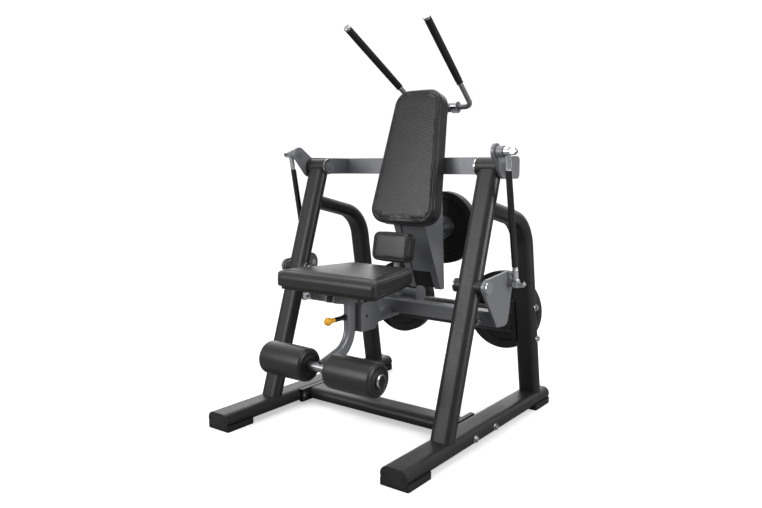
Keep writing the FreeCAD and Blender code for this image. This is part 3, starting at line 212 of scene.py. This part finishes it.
# amber ABS, gloss moulded: even colour with a clear highlight
def amberKnob():
    made, tree, shader = startMaterial("amber_gloss_plastic", {"IOR": 1.54, "Coat Weight": 0.3})
    point = objectPoint(tree)
    mottle(tree, shader, 20, "#ffb41e", "#ffbe2c", point)
    roughen(tree, shader, 12, 0.24, 0.32, point)
    return made


# sprayed gloss black enamel on the link rods: deep, with a sharp line of light down the tube
def glossEnamel():
    made, tree, shader = startMaterial("gloss_black_enamel", {"IOR": 1.5, "Coat Weight": 0.4})
    point = objectPoint(tree)
    mottle(tree, shader, 50, "#0e0e0f", "#121213", point)
    roughen(tree, shader, 15, 0.14, 0.2, point)
    return made


# sand-cast iron, enamelled black: the sand's grain shows through the paint
def castIron():
    made, tree, shader = startMaterial("enamelled_cast_iron", {"IOR": 1.5, "Specular IOR Level": 0.4})
    point = objectPoint(tree)
    mottle(tree, shader, 40, "#1a1a1b", "#202021", point)
    roughen(tree, shader, 9, 0.42, 0.56, point)
    sand = addNode(tree, "ShaderNodeTexNoise", {"Vector": point, "Scale": perMetre(3.2), "Detail": 4.0})
    bumpFrom(tree, shader, sand.outputs["Fac"], 0.0003)
    return made


# birch plywood stained near black: long grain, open pores
def stainedPly():
    made, tree, shader = startMaterial("black_stained_plywood", {"IOR": 1.5, "Specular IOR Level": 0.3})
    point = objectPoint(tree)
    stretch = addNode(tree, "ShaderNodeMapping", {"Vector": point, "Scale": (1.0, 0.12, 0.05)})
    grain = mottle(tree, shader, 4, "#1d1a17", "#2a2520", stretch.outputs["Vector"], 0.2)
    roughen(tree, shader, 10, 0.55, 0.7, point)
    bumpFrom(tree, shader, grain.outputs["Fac"], 0.0002)
    return made


# PVC-coated upholstery cloth: soft satin with a leather grain, and on the back pad a woven emboss
vinyl = dict(low="#282828", high="#2b2b2c", grain=2.2, weave=9.0, weaveDepth=0.00031)


def upholsteryVinyl(name, tilt=0.0, woven=False):
    made, tree, shader = startMaterial(name, {"IOR": 1.5, "Specular IOR Level": 0.45})
    point = objectPoint(tree)
    mottle(tree, shader, 70, vinyl["low"], vinyl["high"], point)
    roughen(tree, shader, 30, 0.33, 0.38, point)
    grain = addNode(tree, "ShaderNodeTexVoronoi", {
        "Vector": point, "Scale": perMetre(vinyl["grain"])}, feature="SMOOTH_F1")
    under = bumpFrom(tree, shader, grain.outputs["Distance"], 0.00005)
    if woven:
        turned = addNode(tree, "ShaderNodeMapping", {
            "Vector": point, "Rotation": (-math.radians(tilt), 0, 0)})
        parts = addNode(tree, "ShaderNodeSeparateXYZ", {"Vector": turned.outputs["Vector"]})
        # dashes: a strong rib that falls gently to the right, broken up by a weak steep one
        turnsPerMetre = 2 * math.pi * perMetre(vinyl["weave"])
        ribs = []
        for across, along, share in ((0.22, 1.0, 0.7), (0.5, -0.35, 0.3)):
            x = addNode(tree, "ShaderNodeMath", {
                0: parts.outputs["X"], 1: across * turnsPerMetre}, operation="MULTIPLY")
            z = addNode(tree, "ShaderNodeMath", {
                0: parts.outputs["Z"], 1: along * turnsPerMetre, 2: x.outputs[0]}, operation="MULTIPLY_ADD")
            wave = addNode(tree, "ShaderNodeMath", {0: z.outputs[0]}, operation="SINE")
            ribs.append(addNode(tree, "ShaderNodeMath", {
                0: wave.outputs[0], 1: share}, operation="MULTIPLY"))
        cross = addNode(tree, "ShaderNodeMath", {
            0: ribs[0].outputs[0], 1: ribs[1].outputs[0]}, operation="ADD")
        panel = addNode(tree, "ShaderNodeAttribute", attribute_name="facePanel")
        height = addNode(tree, "ShaderNodeMath", {
            0: cross.outputs[0], 1: panel.outputs["Fac"]}, operation="MULTIPLY")
        bumpFrom(tree, shader, height.outputs[0], vinyl["weaveDepth"], 0.7, under)
    return made


finishes = {
    "frame_paint": satinPowderCoat(),
    "arm_paint": silverPowderCoat(),
    "chrome": chromePlate(),
    "shaft_steel": groundSteel(),
    "horn_steel": hornSleeve(),
    "foot_rubber": mouldedRubber("moulded_foot_rubber", ("#1b1b1b", "#202020"), 2.0, 0.00005),
    "grip_rubber": mouldedRubber("moulded_grip_rubber", ("#141414", "#191919"), 1.6, 0.000012),
    "cap_plastic": mouldedNylon("moulded_nylon_cap"),
    "core_plastic": mouldedNylon("moulded_nylon_core"),
    "knob_plastic": amberKnob(),
    "link_paint": glossEnamel(),
    "plate_iron": castIron(),
    "board": stainedPly(),
    "pad_vinyl": upholsteryVinyl("grained_upholstery_vinyl"),
}

for name, part in cadNodes.items():
    part.data.materials.clear()
    part.data.materials.append(finishes[slotOfNode[name]])
print("finishes made:", len(finishes))


# closed skin over rows of points: quads between rows, wrapped round, a point at each end
def skinRows(name, rows):
    count, around = rows.shape[:2]
    index = np.arange(count * around).reshape(count, around)
    low, high = index[:-1], index[1:]
    quads = np.stack([low, np.roll(low, -1, 1), np.roll(high, -1, 1), high], -1).reshape(-1, 4)
    poles = np.array([rows[0].mean(0), rows[-1].mean(0)])
    points = np.concatenate([rows.reshape(-1, 3), poles])
    first = np.stack([np.roll(index[0], -1), index[0], np.full(around, count * around)], -1)
    last = np.stack([index[-1], np.roll(index[-1], -1), np.full(around, count * around + 1)], -1)
    mesh = bpy.data.meshes.new(name)
    mesh.from_pydata(points.tolist(), [], quads.tolist() + first.tolist() + last.tolist())
    pointOutwards(mesh)
    piece = bpy.data.objects.new(name, mesh)
    scene.collection.objects.link(piece)
    return piece


def pointOutwards(mesh):
    work = bmesh.new()
    work.from_mesh(mesh)
    bmesh.ops.recalc_face_normals(work, faces=work.faces)
    work.to_mesh(mesh)
    work.free()
    mesh.shade_smooth()


# outline of a pad: the hull of four corner circles, the same share of points on each corner and
# each edge whatever its size, so that rings of different inset line up; gives points and normals
def padOutline(lowHalf, highHalf, foot, length, corner, bow=0.0):
    centres = np.array([
        (-lowHalf + corner, foot + corner), (lowHalf - corner, foot + corner),
        (highHalf - corner, length - corner), (-highHalf + corner, length - corner)])
    edges = np.roll(centres, -1, 0) - centres
    facing = np.unwrap(np.arctan2(-edges[:, 0], edges[:, 1]))
    begins = np.roll(facing, 1)
    begins[0] -= 2 * math.pi
    steps = np.linspace(0, 1, foam["cornerPoints"])
    angles = begins[:, None] + (facing - begins)[:, None] * steps
    normals = np.stack([np.cos(angles), np.sin(angles)], -1)
    arcs = centres[:, None] + corner * normals
    share = np.linspace(0, 1, foam["edgePoints"] + 2)[1:-1, None]
    points, facings = [], []
    for arc, after, normal in zip(arcs, np.roll(arcs, -1, 0), normals):
        points += [arc, arc[-1] * (1 - share) + after[0] * share]
        facings += [normal, np.repeat(normal[-1:], len(share), 0)]
    points, facings = np.concatenate(points), np.concatenate(facings)
    # the two ends bow outwards by this much at their middles
    share = np.abs(facings[:, 1]) ** 2 * np.sign(facings[:, 1])
    points[:, 1] += share * bow * (1 - (points[:, 0] / lowHalf) ** 2)
    return points, facings


# the pad's own frame, read from its CAD solid: origin at the foot on the board, X across, S along, D out
def padFrame(node, along, outward):
    mesh = cadNodes[node].data
    points = np.zeros(len(mesh.vertices) * 3, np.float32)
    mesh.vertices.foreach_get("co", points)
    points = points.reshape(-1, 3).astype(float)
    axes = np.array([(1.0, 0.0, 0.0), along, outward])
    local = points @ axes.T
    lowest, highest = local.min(0), local.max(0)
    origin = axes.T @ np.array([0.0, lowest[1], lowest[2]])
    return origin, axes, highest[1] - lowest[1], highest[2] - lowest[2]


# cushion rows from the board's middle round the edge to the face's middle: each is a ring set in by
# one inset at the sides and another at the front, at a depth that blends from the sides' value to the
# front's; the face's dome adds crown * (1 - across^2) * 4 * along * (1 - along)
def cushionRows(sizes, length, thickness):
    grow = sizes["grow"]
    steps = np.linspace(0, 1, 9)[1:]
    rows = []

    def addRow(side, front, sideDepth, frontDepth, share=0.0):
        ring, normals = padOutline(
            sizes["lowHalf"] + grow - side, sizes["highHalf"] + grow - side, front - grow,
            length + grow - side, max(sizes["corner"] - side, foam["leastCorner"]), sizes["bow"])
        weight = np.clip(-normals[:, 1] * 1.6 - 0.5, 0, 1)
        weight = weight * weight * (3 - 2 * weight)
        ring += (np.array([0.0, length / 2]) - ring) * share
        depth = sideDepth + (frontDepth - sideDepth) * weight
        up = np.clip(ring[:, 1] / length, 0, 1)
        half = sizes["lowHalf"] + (sizes["highHalf"] - sizes["lowHalf"]) * up
        dome = np.clip(1 - (ring[:, 0] / half) ** 2, 0, 1) * 4 * up * (1 - up)
        onFace = min(max(sideDepth, frontDepth) / thickness, 1) ** foam["domeOnFace"]
        depth += sizes["crown"] * dome * onFace
        rows.append(np.concatenate([ring, depth[:, None]], 1))

    board = sizes["boardRadius"]
    for share in np.linspace(0.96, 0, 12):
        addRow(board, board, 0.0, 0.0, share)
    for turn in steps * math.pi / 2:
        inset, depth = board * (1 - math.sin(turn)), board * (1 - math.cos(turn))
        addRow(inset, inset, depth, depth)
    faceRadius, frontRadius = sizes["faceRadius"], sizes["frontRadius"]
    wall, frontWall = thickness - faceRadius, thickness - frontRadius
    for share in np.linspace(0, 1, 37)[1:]:
        addRow(0.0, 0.0, board + (wall - board) * share, board + (frontWall - board) * share)
    for turn in np.linspace(0, math.pi / 2, 17)[1:]:
        fall, rise = 1 - math.cos(turn), math.sin(turn)
        depth, frontDepth = wall + faceRadius * rise, frontWall + frontRadius * rise
        addRow(faceRadius * fall, frontRadius * fall, depth, frontDepth)
    for inset in np.linspace(0, foam["fineRim"], 14)[1:]:
        addRow(faceRadius + inset, frontRadius + inset, thickness, thickness)
    rim = foam["fineRim"]
    for share in np.linspace(0, 0.97, 22)[1:]:
        addRow(faceRadius + rim, frontRadius + rim, thickness, thickness, share)
    return np.array(rows)


# even quads first, so that the cloth moves alike everywhere
def evenMesh(piece, size):
    remesh = piece.modifiers.new("even", "REMESH")
    remesh.mode = "VOXEL"
    remesh.voxel_size = size
    bakeModifiers(piece)


def bakeModifiers(piece):
    shape = bpy.data.meshes.new_from_object(piece.evaluated_get(bpy.context.evaluated_depsgraph_get()))
    piece.modifiers.clear()
    piece.data = shape


def meshPoints(mesh):
    points = np.zeros(len(mesh.vertices) * 3, np.float32)
    mesh.vertices.foreach_get("co", points)
    return points.reshape(-1, 3).astype(float)


def setPoints(mesh, points):
    mesh.vertices.foreach_set("co", points.astype(np.float32).ravel())
    mesh.update()


# distance to the outline, for points on the pad's plane
def insetFrom(outline, plane):
    ends = np.roll(outline, -1, 0)
    side = ends - outline
    away = np.full(len(plane), 1e9)
    for start in range(0, len(outline), 16):
        a, s = outline[start:start + 16], side[start:start + 16]
        share = np.clip(((plane[:, None] - a) * s).sum(-1) / (s * s).sum(-1), 0, 1)
        near = np.linalg.norm(plane[:, None] - (a + s * share[..., None]), axis=-1).min(1)
        away = np.minimum(away, near)
    return away


# gym pads: firm moulded foam under sewn vinyl; sizes in metres, lean in degrees from upright
pads = {
    "backrest_cushion": dict(
        node="backrest_pad", body="torso_arm", lean=14.47,
        lowHalf=0.170, highHalf=0.125, corner=0.066, bow=0.007,
        faceRadius=0.015, frontRadius=0.015, boardRadius=0.006, crown=0.004, grow=0.0025,
        seam=0.015, frontSeam=0.015, bandSeam=0.017, groove=0.0030, plump=0.004, fill=0.85, woven=True),
    "seat_cushion": dict(
        node="seat_pad", body="seat_carriage", lean=-90.0,
        lowHalf=0.254, highHalf=0.168, corner=0.020, bow=0.0,
        faceRadius=0.012, frontRadius=0.033, boardRadius=0.009, crown=0.005, grow=0.0025,
        seam=0.013, frontSeam=0.036, bandSeam=0.016, groove=0.0030, plump=0.004, fill=0.85, woven=False),
    "lumbar_cushion": dict(
        node="lumbar_pad", body="seat_carriage", lean=10.5,
        lowHalf=0.097, highHalf=0.097, corner=0.030, bow=0.0,
        faceRadius=0.010, frontRadius=0.010, boardRadius=0.005, crown=0.0012, grow=0.0010,
        seam=0.010, frontSeam=0.010, bandSeam=0.012, groove=0.0024, plump=0.003, fill=0.85, woven=False),
}
foam = dict(
    voxel=0.006, pressure=4.0, frames=20, cornerPoints=20, edgePoints=44, fineRim=0.009,
    grooveWidth=0.0022, faceFade=0.0012, bandReach=0.012, bandShare=0.6, leastCorner=0.006,
    domeOnFace=8, heldDepth=0.004, nearest=10)


def padAxes(lean):
    tilt = math.radians(lean)
    if lean < 0:
        return (0.0, 1.0, 0.0), (0.0, 0.0, 1.0)
    return (0.0, math.sin(tilt), math.cos(tilt)), (0.0, -math.cos(tilt), math.sin(tilt))


def startCushion(name, sizes):
    origin, axes, length, thickness = padFrame(sizes["node"], *padAxes(sizes["lean"]))
    rows = cushionRows(sizes, length, thickness - sizes["crown"])
    piece = skinRows(name, origin + rows @ axes)
    outline, _ = padOutline(sizes["lowHalf"], sizes["highHalf"], 0.0, length, sizes["corner"])
    return piece, origin, axes, outline, thickness


# how far the foam fills the cover: an even copy of the cushion, held at its board, is blown up as
# cloth, and each point of the cushion moves out along its normal by the mean of the nearest copies
def simulateFoam(pieces):
    blown = []
    for piece, origin, axes, _, _ in pieces:
        even = bpy.data.objects.new(piece.name + "_even", piece.data.copy())
        scene.collection.objects.link(even)
        evenMesh(even, foam["voxel"])
        points = meshPoints(even.data)
        held = even.vertex_groups.new(name="held")
        depth = ((points - origin) @ axes.T)[:, 2]
        held.add(np.flatnonzero(depth < foam["heldDepth"]).tolist(), 1.0, "REPLACE")
        cloth = even.modifiers.new("fill", "CLOTH")
        cloth.settings.use_pressure = True
        cloth.settings.uniform_pressure_force = foam["pressure"]
        cloth.settings.effector_weights.gravity = 0
        cloth.settings.vertex_group_mass = "held"
        blown.append((even, points))
    for step in range(1, foam["frames"] + 1):
        scene.frame_set(step)
    for (piece, _, _, _, _), (even, before) in zip(pieces, blown):
        bakeModifiers(even)
        moved = meshPoints(even.data) - before
        tree = KDTree(len(before))
        for index, point in enumerate(before):
            tree.insert(point, index)
        tree.balance()
        points = meshPoints(piece.data)
        normals = np.array([vertex.normal[:] for vertex in piece.data.vertices])
        near = [[hit[1] for hit in tree.find_n(point, foam["nearest"])] for point in points]
        out = np.maximum((moved[np.array(near)].mean(1) * normals).sum(1), 0)
        cap = pads[piece.name]["plump"]
        setPoints(piece.data, points + normals * (cap * np.tanh(out / cap))[:, None])
        bpy.data.objects.remove(even)
        print("foam filled:", piece.name, "by up to", round(out.max() * 1000, 1), "mm")
    scene.frame_set(1)


# sewn grooves: the face pressed in along a line beside its edge, the band pressed in below the roll
def sewGrooves(piece, origin, axes, outline, thickness):
    sizes = pads[piece.name]
    points = meshPoints(piece.data)
    local = (points - origin) @ axes.T
    inset = insetFrom(outline, local[:, :2])
    front = np.clip(1 - local[:, 1] / (1.8 * sizes["frontSeam"]), 0, 1)
    onFace = 1 / (1 + np.exp(-(local[:, 2] - thickness + sizes["frontRadius"] * 0.5) / foam["faceFade"]))
    frontLine = np.abs(local[:, 1] - sizes["frontSeam"])
    sideLine = np.abs(inset - sizes["seam"])
    nearest = np.where(local[:, 1] < sizes["frontSeam"], frontLine, np.minimum(frontLine, sideLine))
    width = foam["grooveWidth"]
    sunk = sizes["groove"] * np.exp(-(nearest / width) ** 2) * onFace
    local[:, 2] -= sunk
    middle = outline.mean(0)
    outward = local[:, :2] - middle
    outward /= np.maximum(np.linalg.norm(outward, axis=1), 1e-6)[:, None]
    onBand = np.clip(1 - inset / foam["bandReach"], 0, 1) * (1 - front)
    bandLine = np.abs(local[:, 2] - (thickness - sizes["bandSeam"]))
    pressed = foam["bandShare"] * sizes["groove"] * np.exp(-(bandLine / width) ** 2) * onBand
    local[:, :2] -= outward * pressed[:, None]
    setPoints(piece.data, origin + local @ axes)
    panel = (inset > sizes["seam"]) & (local[:, 2] > thickness * 0.7)
    mark = piece.data.attributes.new("facePanel", "FLOAT", "POINT")
    mark.data.foreach_set("value", panel.astype(np.float32))
    piece.data.shade_smooth()


def dressPads():
    pieces = [startCushion(name, sizes) for name, sizes in pads.items()]
    simulateFoam(pieces)
    for entry in pieces:
        piece = entry[0]
        sizes = pads[piece.name]
        sewGrooves(*entry)
        finish = finishes["pad_vinyl"]
        if sizes["woven"]:
            finish = upholsteryVinyl("woven_upholstery_vinyl", sizes["lean"], True)
        piece.data.materials.clear()
        piece.data.materials.append(finish)
        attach(piece, sizes["body"])
        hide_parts(sizes["node"])
        print("cushion made:", piece.name, len(piece.data.vertices), "points")


dressPads()


# lathe: a closed profile of (distance along the axis, radius) turned round a straight axis
def lathe(name, profile, start, run, around=96):
    run = np.array(run) / np.linalg.norm(run)
    side = np.cross(run, (0.0, 0.0, 1.0))
    side /= np.linalg.norm(side)
    lift = np.cross(side, run)
    turn = np.linspace(0, 2 * math.pi, around, endpoint=False)
    ring = np.cos(turn)[:, None] * side + np.sin(turn)[:, None] * lift
    points = np.array(start) + profile[:, 0, None, None] * run + profile[:, 1, None, None] * ring
    index = np.arange(len(profile) * around).reshape(len(profile), around)
    after = np.roll(index, -1, 0)
    quads = np.stack([index, np.roll(index, -1, 1), np.roll(after, -1, 1), after], -1).reshape(-1, 4)
    mesh = bpy.data.meshes.new(name)
    mesh.from_pydata(points.reshape(-1, 3).tolist(), [], quads.tolist())
    pointOutwards(mesh)
    piece = bpy.data.objects.new(name, mesh)
    scene.collection.objects.link(piece)
    return piece


# leg rollers: foam tube in a vinyl sleeve, its ends drawn in over a moulded end disc
roller = dict(crown=0.0015, rim=0.015, lip=0.050, recess=0.006, sleeve=0.0245, discInset=0.0012, fill=0.9)


def rollerProfile(low, high, radius):
    turns = np.linspace(0, math.pi / 2, 12)
    rim = roller["rim"]
    body = np.linspace(low + rim, high - rim, 40)
    swell = roller["crown"] * (1 - ((body - (low + high) / 2) / ((high - low) / 2)) ** 2)
    top = np.stack([body, radius - roller["crown"] + swell], -1)
    edge = radius - roller["crown"] + swell[0]
    right = np.stack([high - rim + rim * np.sin(turns), edge - rim + rim * np.cos(turns)], -1)[1:]
    left = np.stack([low + rim - rim * np.sin(turns), edge - rim + rim * np.cos(turns)], -1)[1:][::-1]
    lip, recess, sleeve = roller["lip"], roller["recess"], roller["sleeve"]
    inwards = ((0.0006, lip + 0.002), (0.002, lip), (recess, lip - 0.001), (recess, sleeve))
    rightEnd = np.array([(high - depth, height) for depth, height in inwards])
    leftEnd = np.array([(low + depth, height) for depth, height in inwards[::-1]])
    return np.concatenate([top, right, rightEnd, leftEnd, left])


# shallow dished disc closing the foam's end: flat rim, cone down to a hub ring
def discProfile(face, inward):
    depths = [(0.0045, 0.0245), (0.0, 0.0245), (0.0, 0.030), (0.0028, 0.034), (0.0030, 0.042),
              (0.0012, 0.0465), (0.0012, 0.0482), (0.0045, 0.0482)]
    return np.array([(face + inward * depth, radius) for depth, radius in depths])


def dressRollers():
    for side in ("left", "right"):
        node = "roller_pad_" + side
        low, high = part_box(node)
        axisY, axisZ = (low.y + high.y) / 2, (low.z + high.z) / 2
        profile = rollerProfile(low.x, high.x, (high.z - low.z) / 2)
        piece = lathe("roller_foam_" + side, profile, (0, axisY, axisZ), (1, 0, 0), 128)
        piece.data.materials.append(finishes["pad_vinyl"])
        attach(piece, "roller_" + side)
        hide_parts(node)
        for end, face, inward in (("inner", low.x, 1), ("outer", high.x, -1)):
            if side == "left":
                end = {"inner": "outer", "outer": "inner"}[end]
            profile = discProfile(face + inward * roller["discInset"], inward)
            disc = lathe("roller_disc_%s_%s" % (side, end), profile, (0, axisY, axisZ), (1, 0, 0), 64)
            disc.data.materials.append(finishes["core_plastic"])
            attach(disc, "roller_" + side)
    print("rollers made")


dressRollers()


# the straight axis of a round CAD part: its middle line from end to end, and its radius
def axisOf(node):
    points = meshPoints(cadNodes[node].data)
    middle = points.mean(0)
    run = np.linalg.svd(points - middle, full_matrices=False)[2][0]
    run *= np.sign(run[2])
    along = (points - middle) @ run
    middle = middle + run * (along.max() + along.min()) / 2
    length = along.max() - along.min()
    away = points - middle - ((points - middle) @ run)[:, None] * run
    return middle - run * length / 2, run, length, np.linalg.norm(away, axis=1).max()


# hand grips: rubber sleeve pulled over the bar, its ends rolled and its middle a little fuller
grip = dict(round=0.006, swell=0.0006, bore=0.0122)


def gripProfile(length, radius):
    turns = np.linspace(0, math.pi / 2, 8)
    body = np.linspace(grip["round"], length - grip["round"], 48)
    rise = grip["swell"] * (1 - (2 * body / length - 1) ** 2)
    edge = radius - grip["swell"] - grip["round"]
    top = np.stack([body, radius - grip["swell"] + rise], -1)
    inwards = grip["round"] * (1 - np.sin(turns))
    fall = edge + grip["round"] * np.cos(turns)
    far = np.stack([length - inwards, fall], -1)[1:]
    near = np.stack([inwards, fall], -1)[1:][::-1]
    bore = np.array([(length, grip["bore"]), (0.0, grip["bore"])])
    return np.concatenate([top, far, bore, near])


# turned sleeve over the bar's collar where it leaves the mast's cross tube: chromed, one groove
collar = dict(radius=0.026, gap=0.0004, length=0.030, wall=0.0014, groove=0.0009, grooveHalf=0.002)


def collarProfile():
    inner, outer = collar["radius"] + 0.0001, collar["radius"] + collar["wall"]
    length, half, bevel = collar["length"], collar["grooveHalf"], 0.0008
    middle, floor = length * 0.62, outer - collar["groove"]
    return np.array([
        (0.0, inner), (0.0, outer - bevel), (bevel, outer), (middle - half, outer),
        (middle - half * 0.6, floor), (middle + half * 0.6, floor), (middle + half, outer),
        (length - bevel, outer), (length, outer - bevel), (length, inner)])


def dressCollars():
    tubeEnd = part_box("handle_mast")[1].x
    for side, sign in (("left", -1), ("right", 1)):
        low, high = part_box("handle_rod_" + side)
        start = (sign * (tubeEnd + collar["gap"]), high.y - collar["radius"], low.z + collar["radius"])
        piece = lathe("handle_collar_" + side, collarProfile(), start, (sign, 0, 0), 72)
        piece.data.set_sharp_from_angle(angle=math.radians(25))
        piece.data.materials.append(finishes["chrome"])
        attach(piece, "handle_" + side)
    print("collars made")


def dressGrips():
    for side in ("left", "right"):
        node = "handle_grip_" + side
        start, run, length, radius = axisOf(node)
        piece = lathe("rubber_grip_" + side, gripProfile(length, radius), start, run, 48)
        piece.data.materials.append(finishes["grip_rubber"])
        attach(piece, "handle_" + side)
        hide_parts(node)
    print("grips made")


dressGrips()
dressCollars()


# studio: pale floor, a bright ceiling and softboxes
studio = dict(
    azimuth=36.82, pitch=7.08, lens=33.20, place=(1.82026, -1.88914, 1.11293),
    floor="#f4f4f4", floorBounce="#8c8c8c", floorGlow=0.42, floorSize=60.0, sky=0.85)


def aimCamera():
    turn, dip = math.radians(studio["azimuth"]), math.radians(studio["pitch"])
    ahead = Vector((-math.sin(turn) * math.cos(dip), math.cos(turn) * math.cos(dip), -math.sin(dip)))
    right = Vector((math.cos(turn), math.sin(turn), 0))
    data = bpy.data.cameras.new("camera")
    data.sensor_width = 36.0
    data.lens = studio["lens"]
    camera = bpy.data.objects.new("camera", data)
    scene.collection.objects.link(camera)
    pose = Matrix((right, right.cross(ahead), -ahead)).transposed().to_4x4()
    pose.translation = Vector(studio["place"]) + Vector((0, railFront, 0))
    camera.matrix_world = pose
    scene.camera = camera


def layFloor():
    half = studio["floorSize"]
    mesh = bpy.data.meshes.new("floor")
    corners = [(-half, -half, 0), (half, -half, 0), (half, half, 0), (-half, half, 0)]
    mesh.from_pydata(corners, [], [(0, 1, 2, 3)])
    floor = bpy.data.objects.new("floor", mesh)
    scene.collection.objects.link(floor)
    made, tree, shader = startMaterial("matt_white_floor", {
        "Roughness": 0.9, "Emission Color": colour("#ffffff")})
    # seen straight it glows white; in reflections and bounced light it is a mid grey
    seen = addNode(tree, "ShaderNodeLightPath").outputs["Is Camera Ray"]
    tone = addNode(tree, "ShaderNodeMix", {
        0: seen, 6: colour(studio["floorBounce"]), 7: colour(studio["floor"])}, data_type="RGBA")
    glow = addNode(tree, "ShaderNodeMath", {0: seen, 1: studio["floorGlow"]}, operation="MULTIPLY")
    tree.links.new(tone.outputs[2], shader.inputs["Base Color"])
    tree.links.new(glow.outputs[0], shader.inputs["Emission Strength"])
    mesh.materials.append(made)


def lightStudio():
    world = bpy.data.worlds.new("studio")
    world.use_nodes = True
    tree = world.node_tree
    back = tree.nodes["Background"]
    # seen straight, the room is white; as light, it is bright overhead, brightest on the backdrop
    # behind the machine, and grey at eye level elsewhere
    ray = addNode(tree, "ShaderNodeTexCoord").outputs["Generated"]
    up = addNode(tree, "ShaderNodeSeparateXYZ", {"Vector": ray})
    ramp = addNode(tree, "ShaderNodeMapRange", {
        "Value": up.outputs["Z"], "From Min": 0.1, "From Max": 0.9, "To Min": 0.15, "To Max": 0.8})
    facing = addNode(tree, "ShaderNodeVectorMath", {0: ray, 1: (-0.6, 0.8, 0.1)}, operation="DOT_PRODUCT")
    glow = addNode(tree, "ShaderNodeMapRange", {
        "Value": facing.outputs["Value"], "From Min": 0.5, "From Max": 0.95, "To Max": 2.0})
    total = addNode(tree, "ShaderNodeMath", {
        0: ramp.outputs["Result"], 1: glow.outputs["Result"]}, operation="ADD")
    seen = addNode(tree, "ShaderNodeLightPath")
    mix = addNode(tree, "ShaderNodeMix", {
        0: seen.outputs["Is Camera Ray"], 6: total.outputs[0], 7: (1.25, 1.25, 1.25, 1)}, data_type="RGBA")
    tree.links.new(mix.outputs[2], back.inputs["Color"])
    back.inputs["Strength"].default_value = studio["sky"]
    scene.world = world
    for name, place, size, power in (
            ("ceiling", (0.0, -0.4, 3.8), 2.6, 40), ("front_box", (-2.0, -4.4, 2.3), 2.6, 105),
            ("right_box", (4.2, 0.2, 1.7), 1.6, 90)):
        data = bpy.data.lights.new(name, "AREA")
        data.energy = power
        data.size = size
        lamp = bpy.data.objects.new(name, data)
        scene.collection.objects.link(lamp)
        lamp.location = place
        aim = Vector((0, 0, 0.8)) - Vector(place)
        lamp.rotation_mode = "QUATERNION"
        lamp.rotation_quaternion = aim.to_track_quat("-Z", "Y")


scene.view_settings.view_transform = "Standard"
aimCamera()
layFloor()
lightStudio()
print("studio ready")
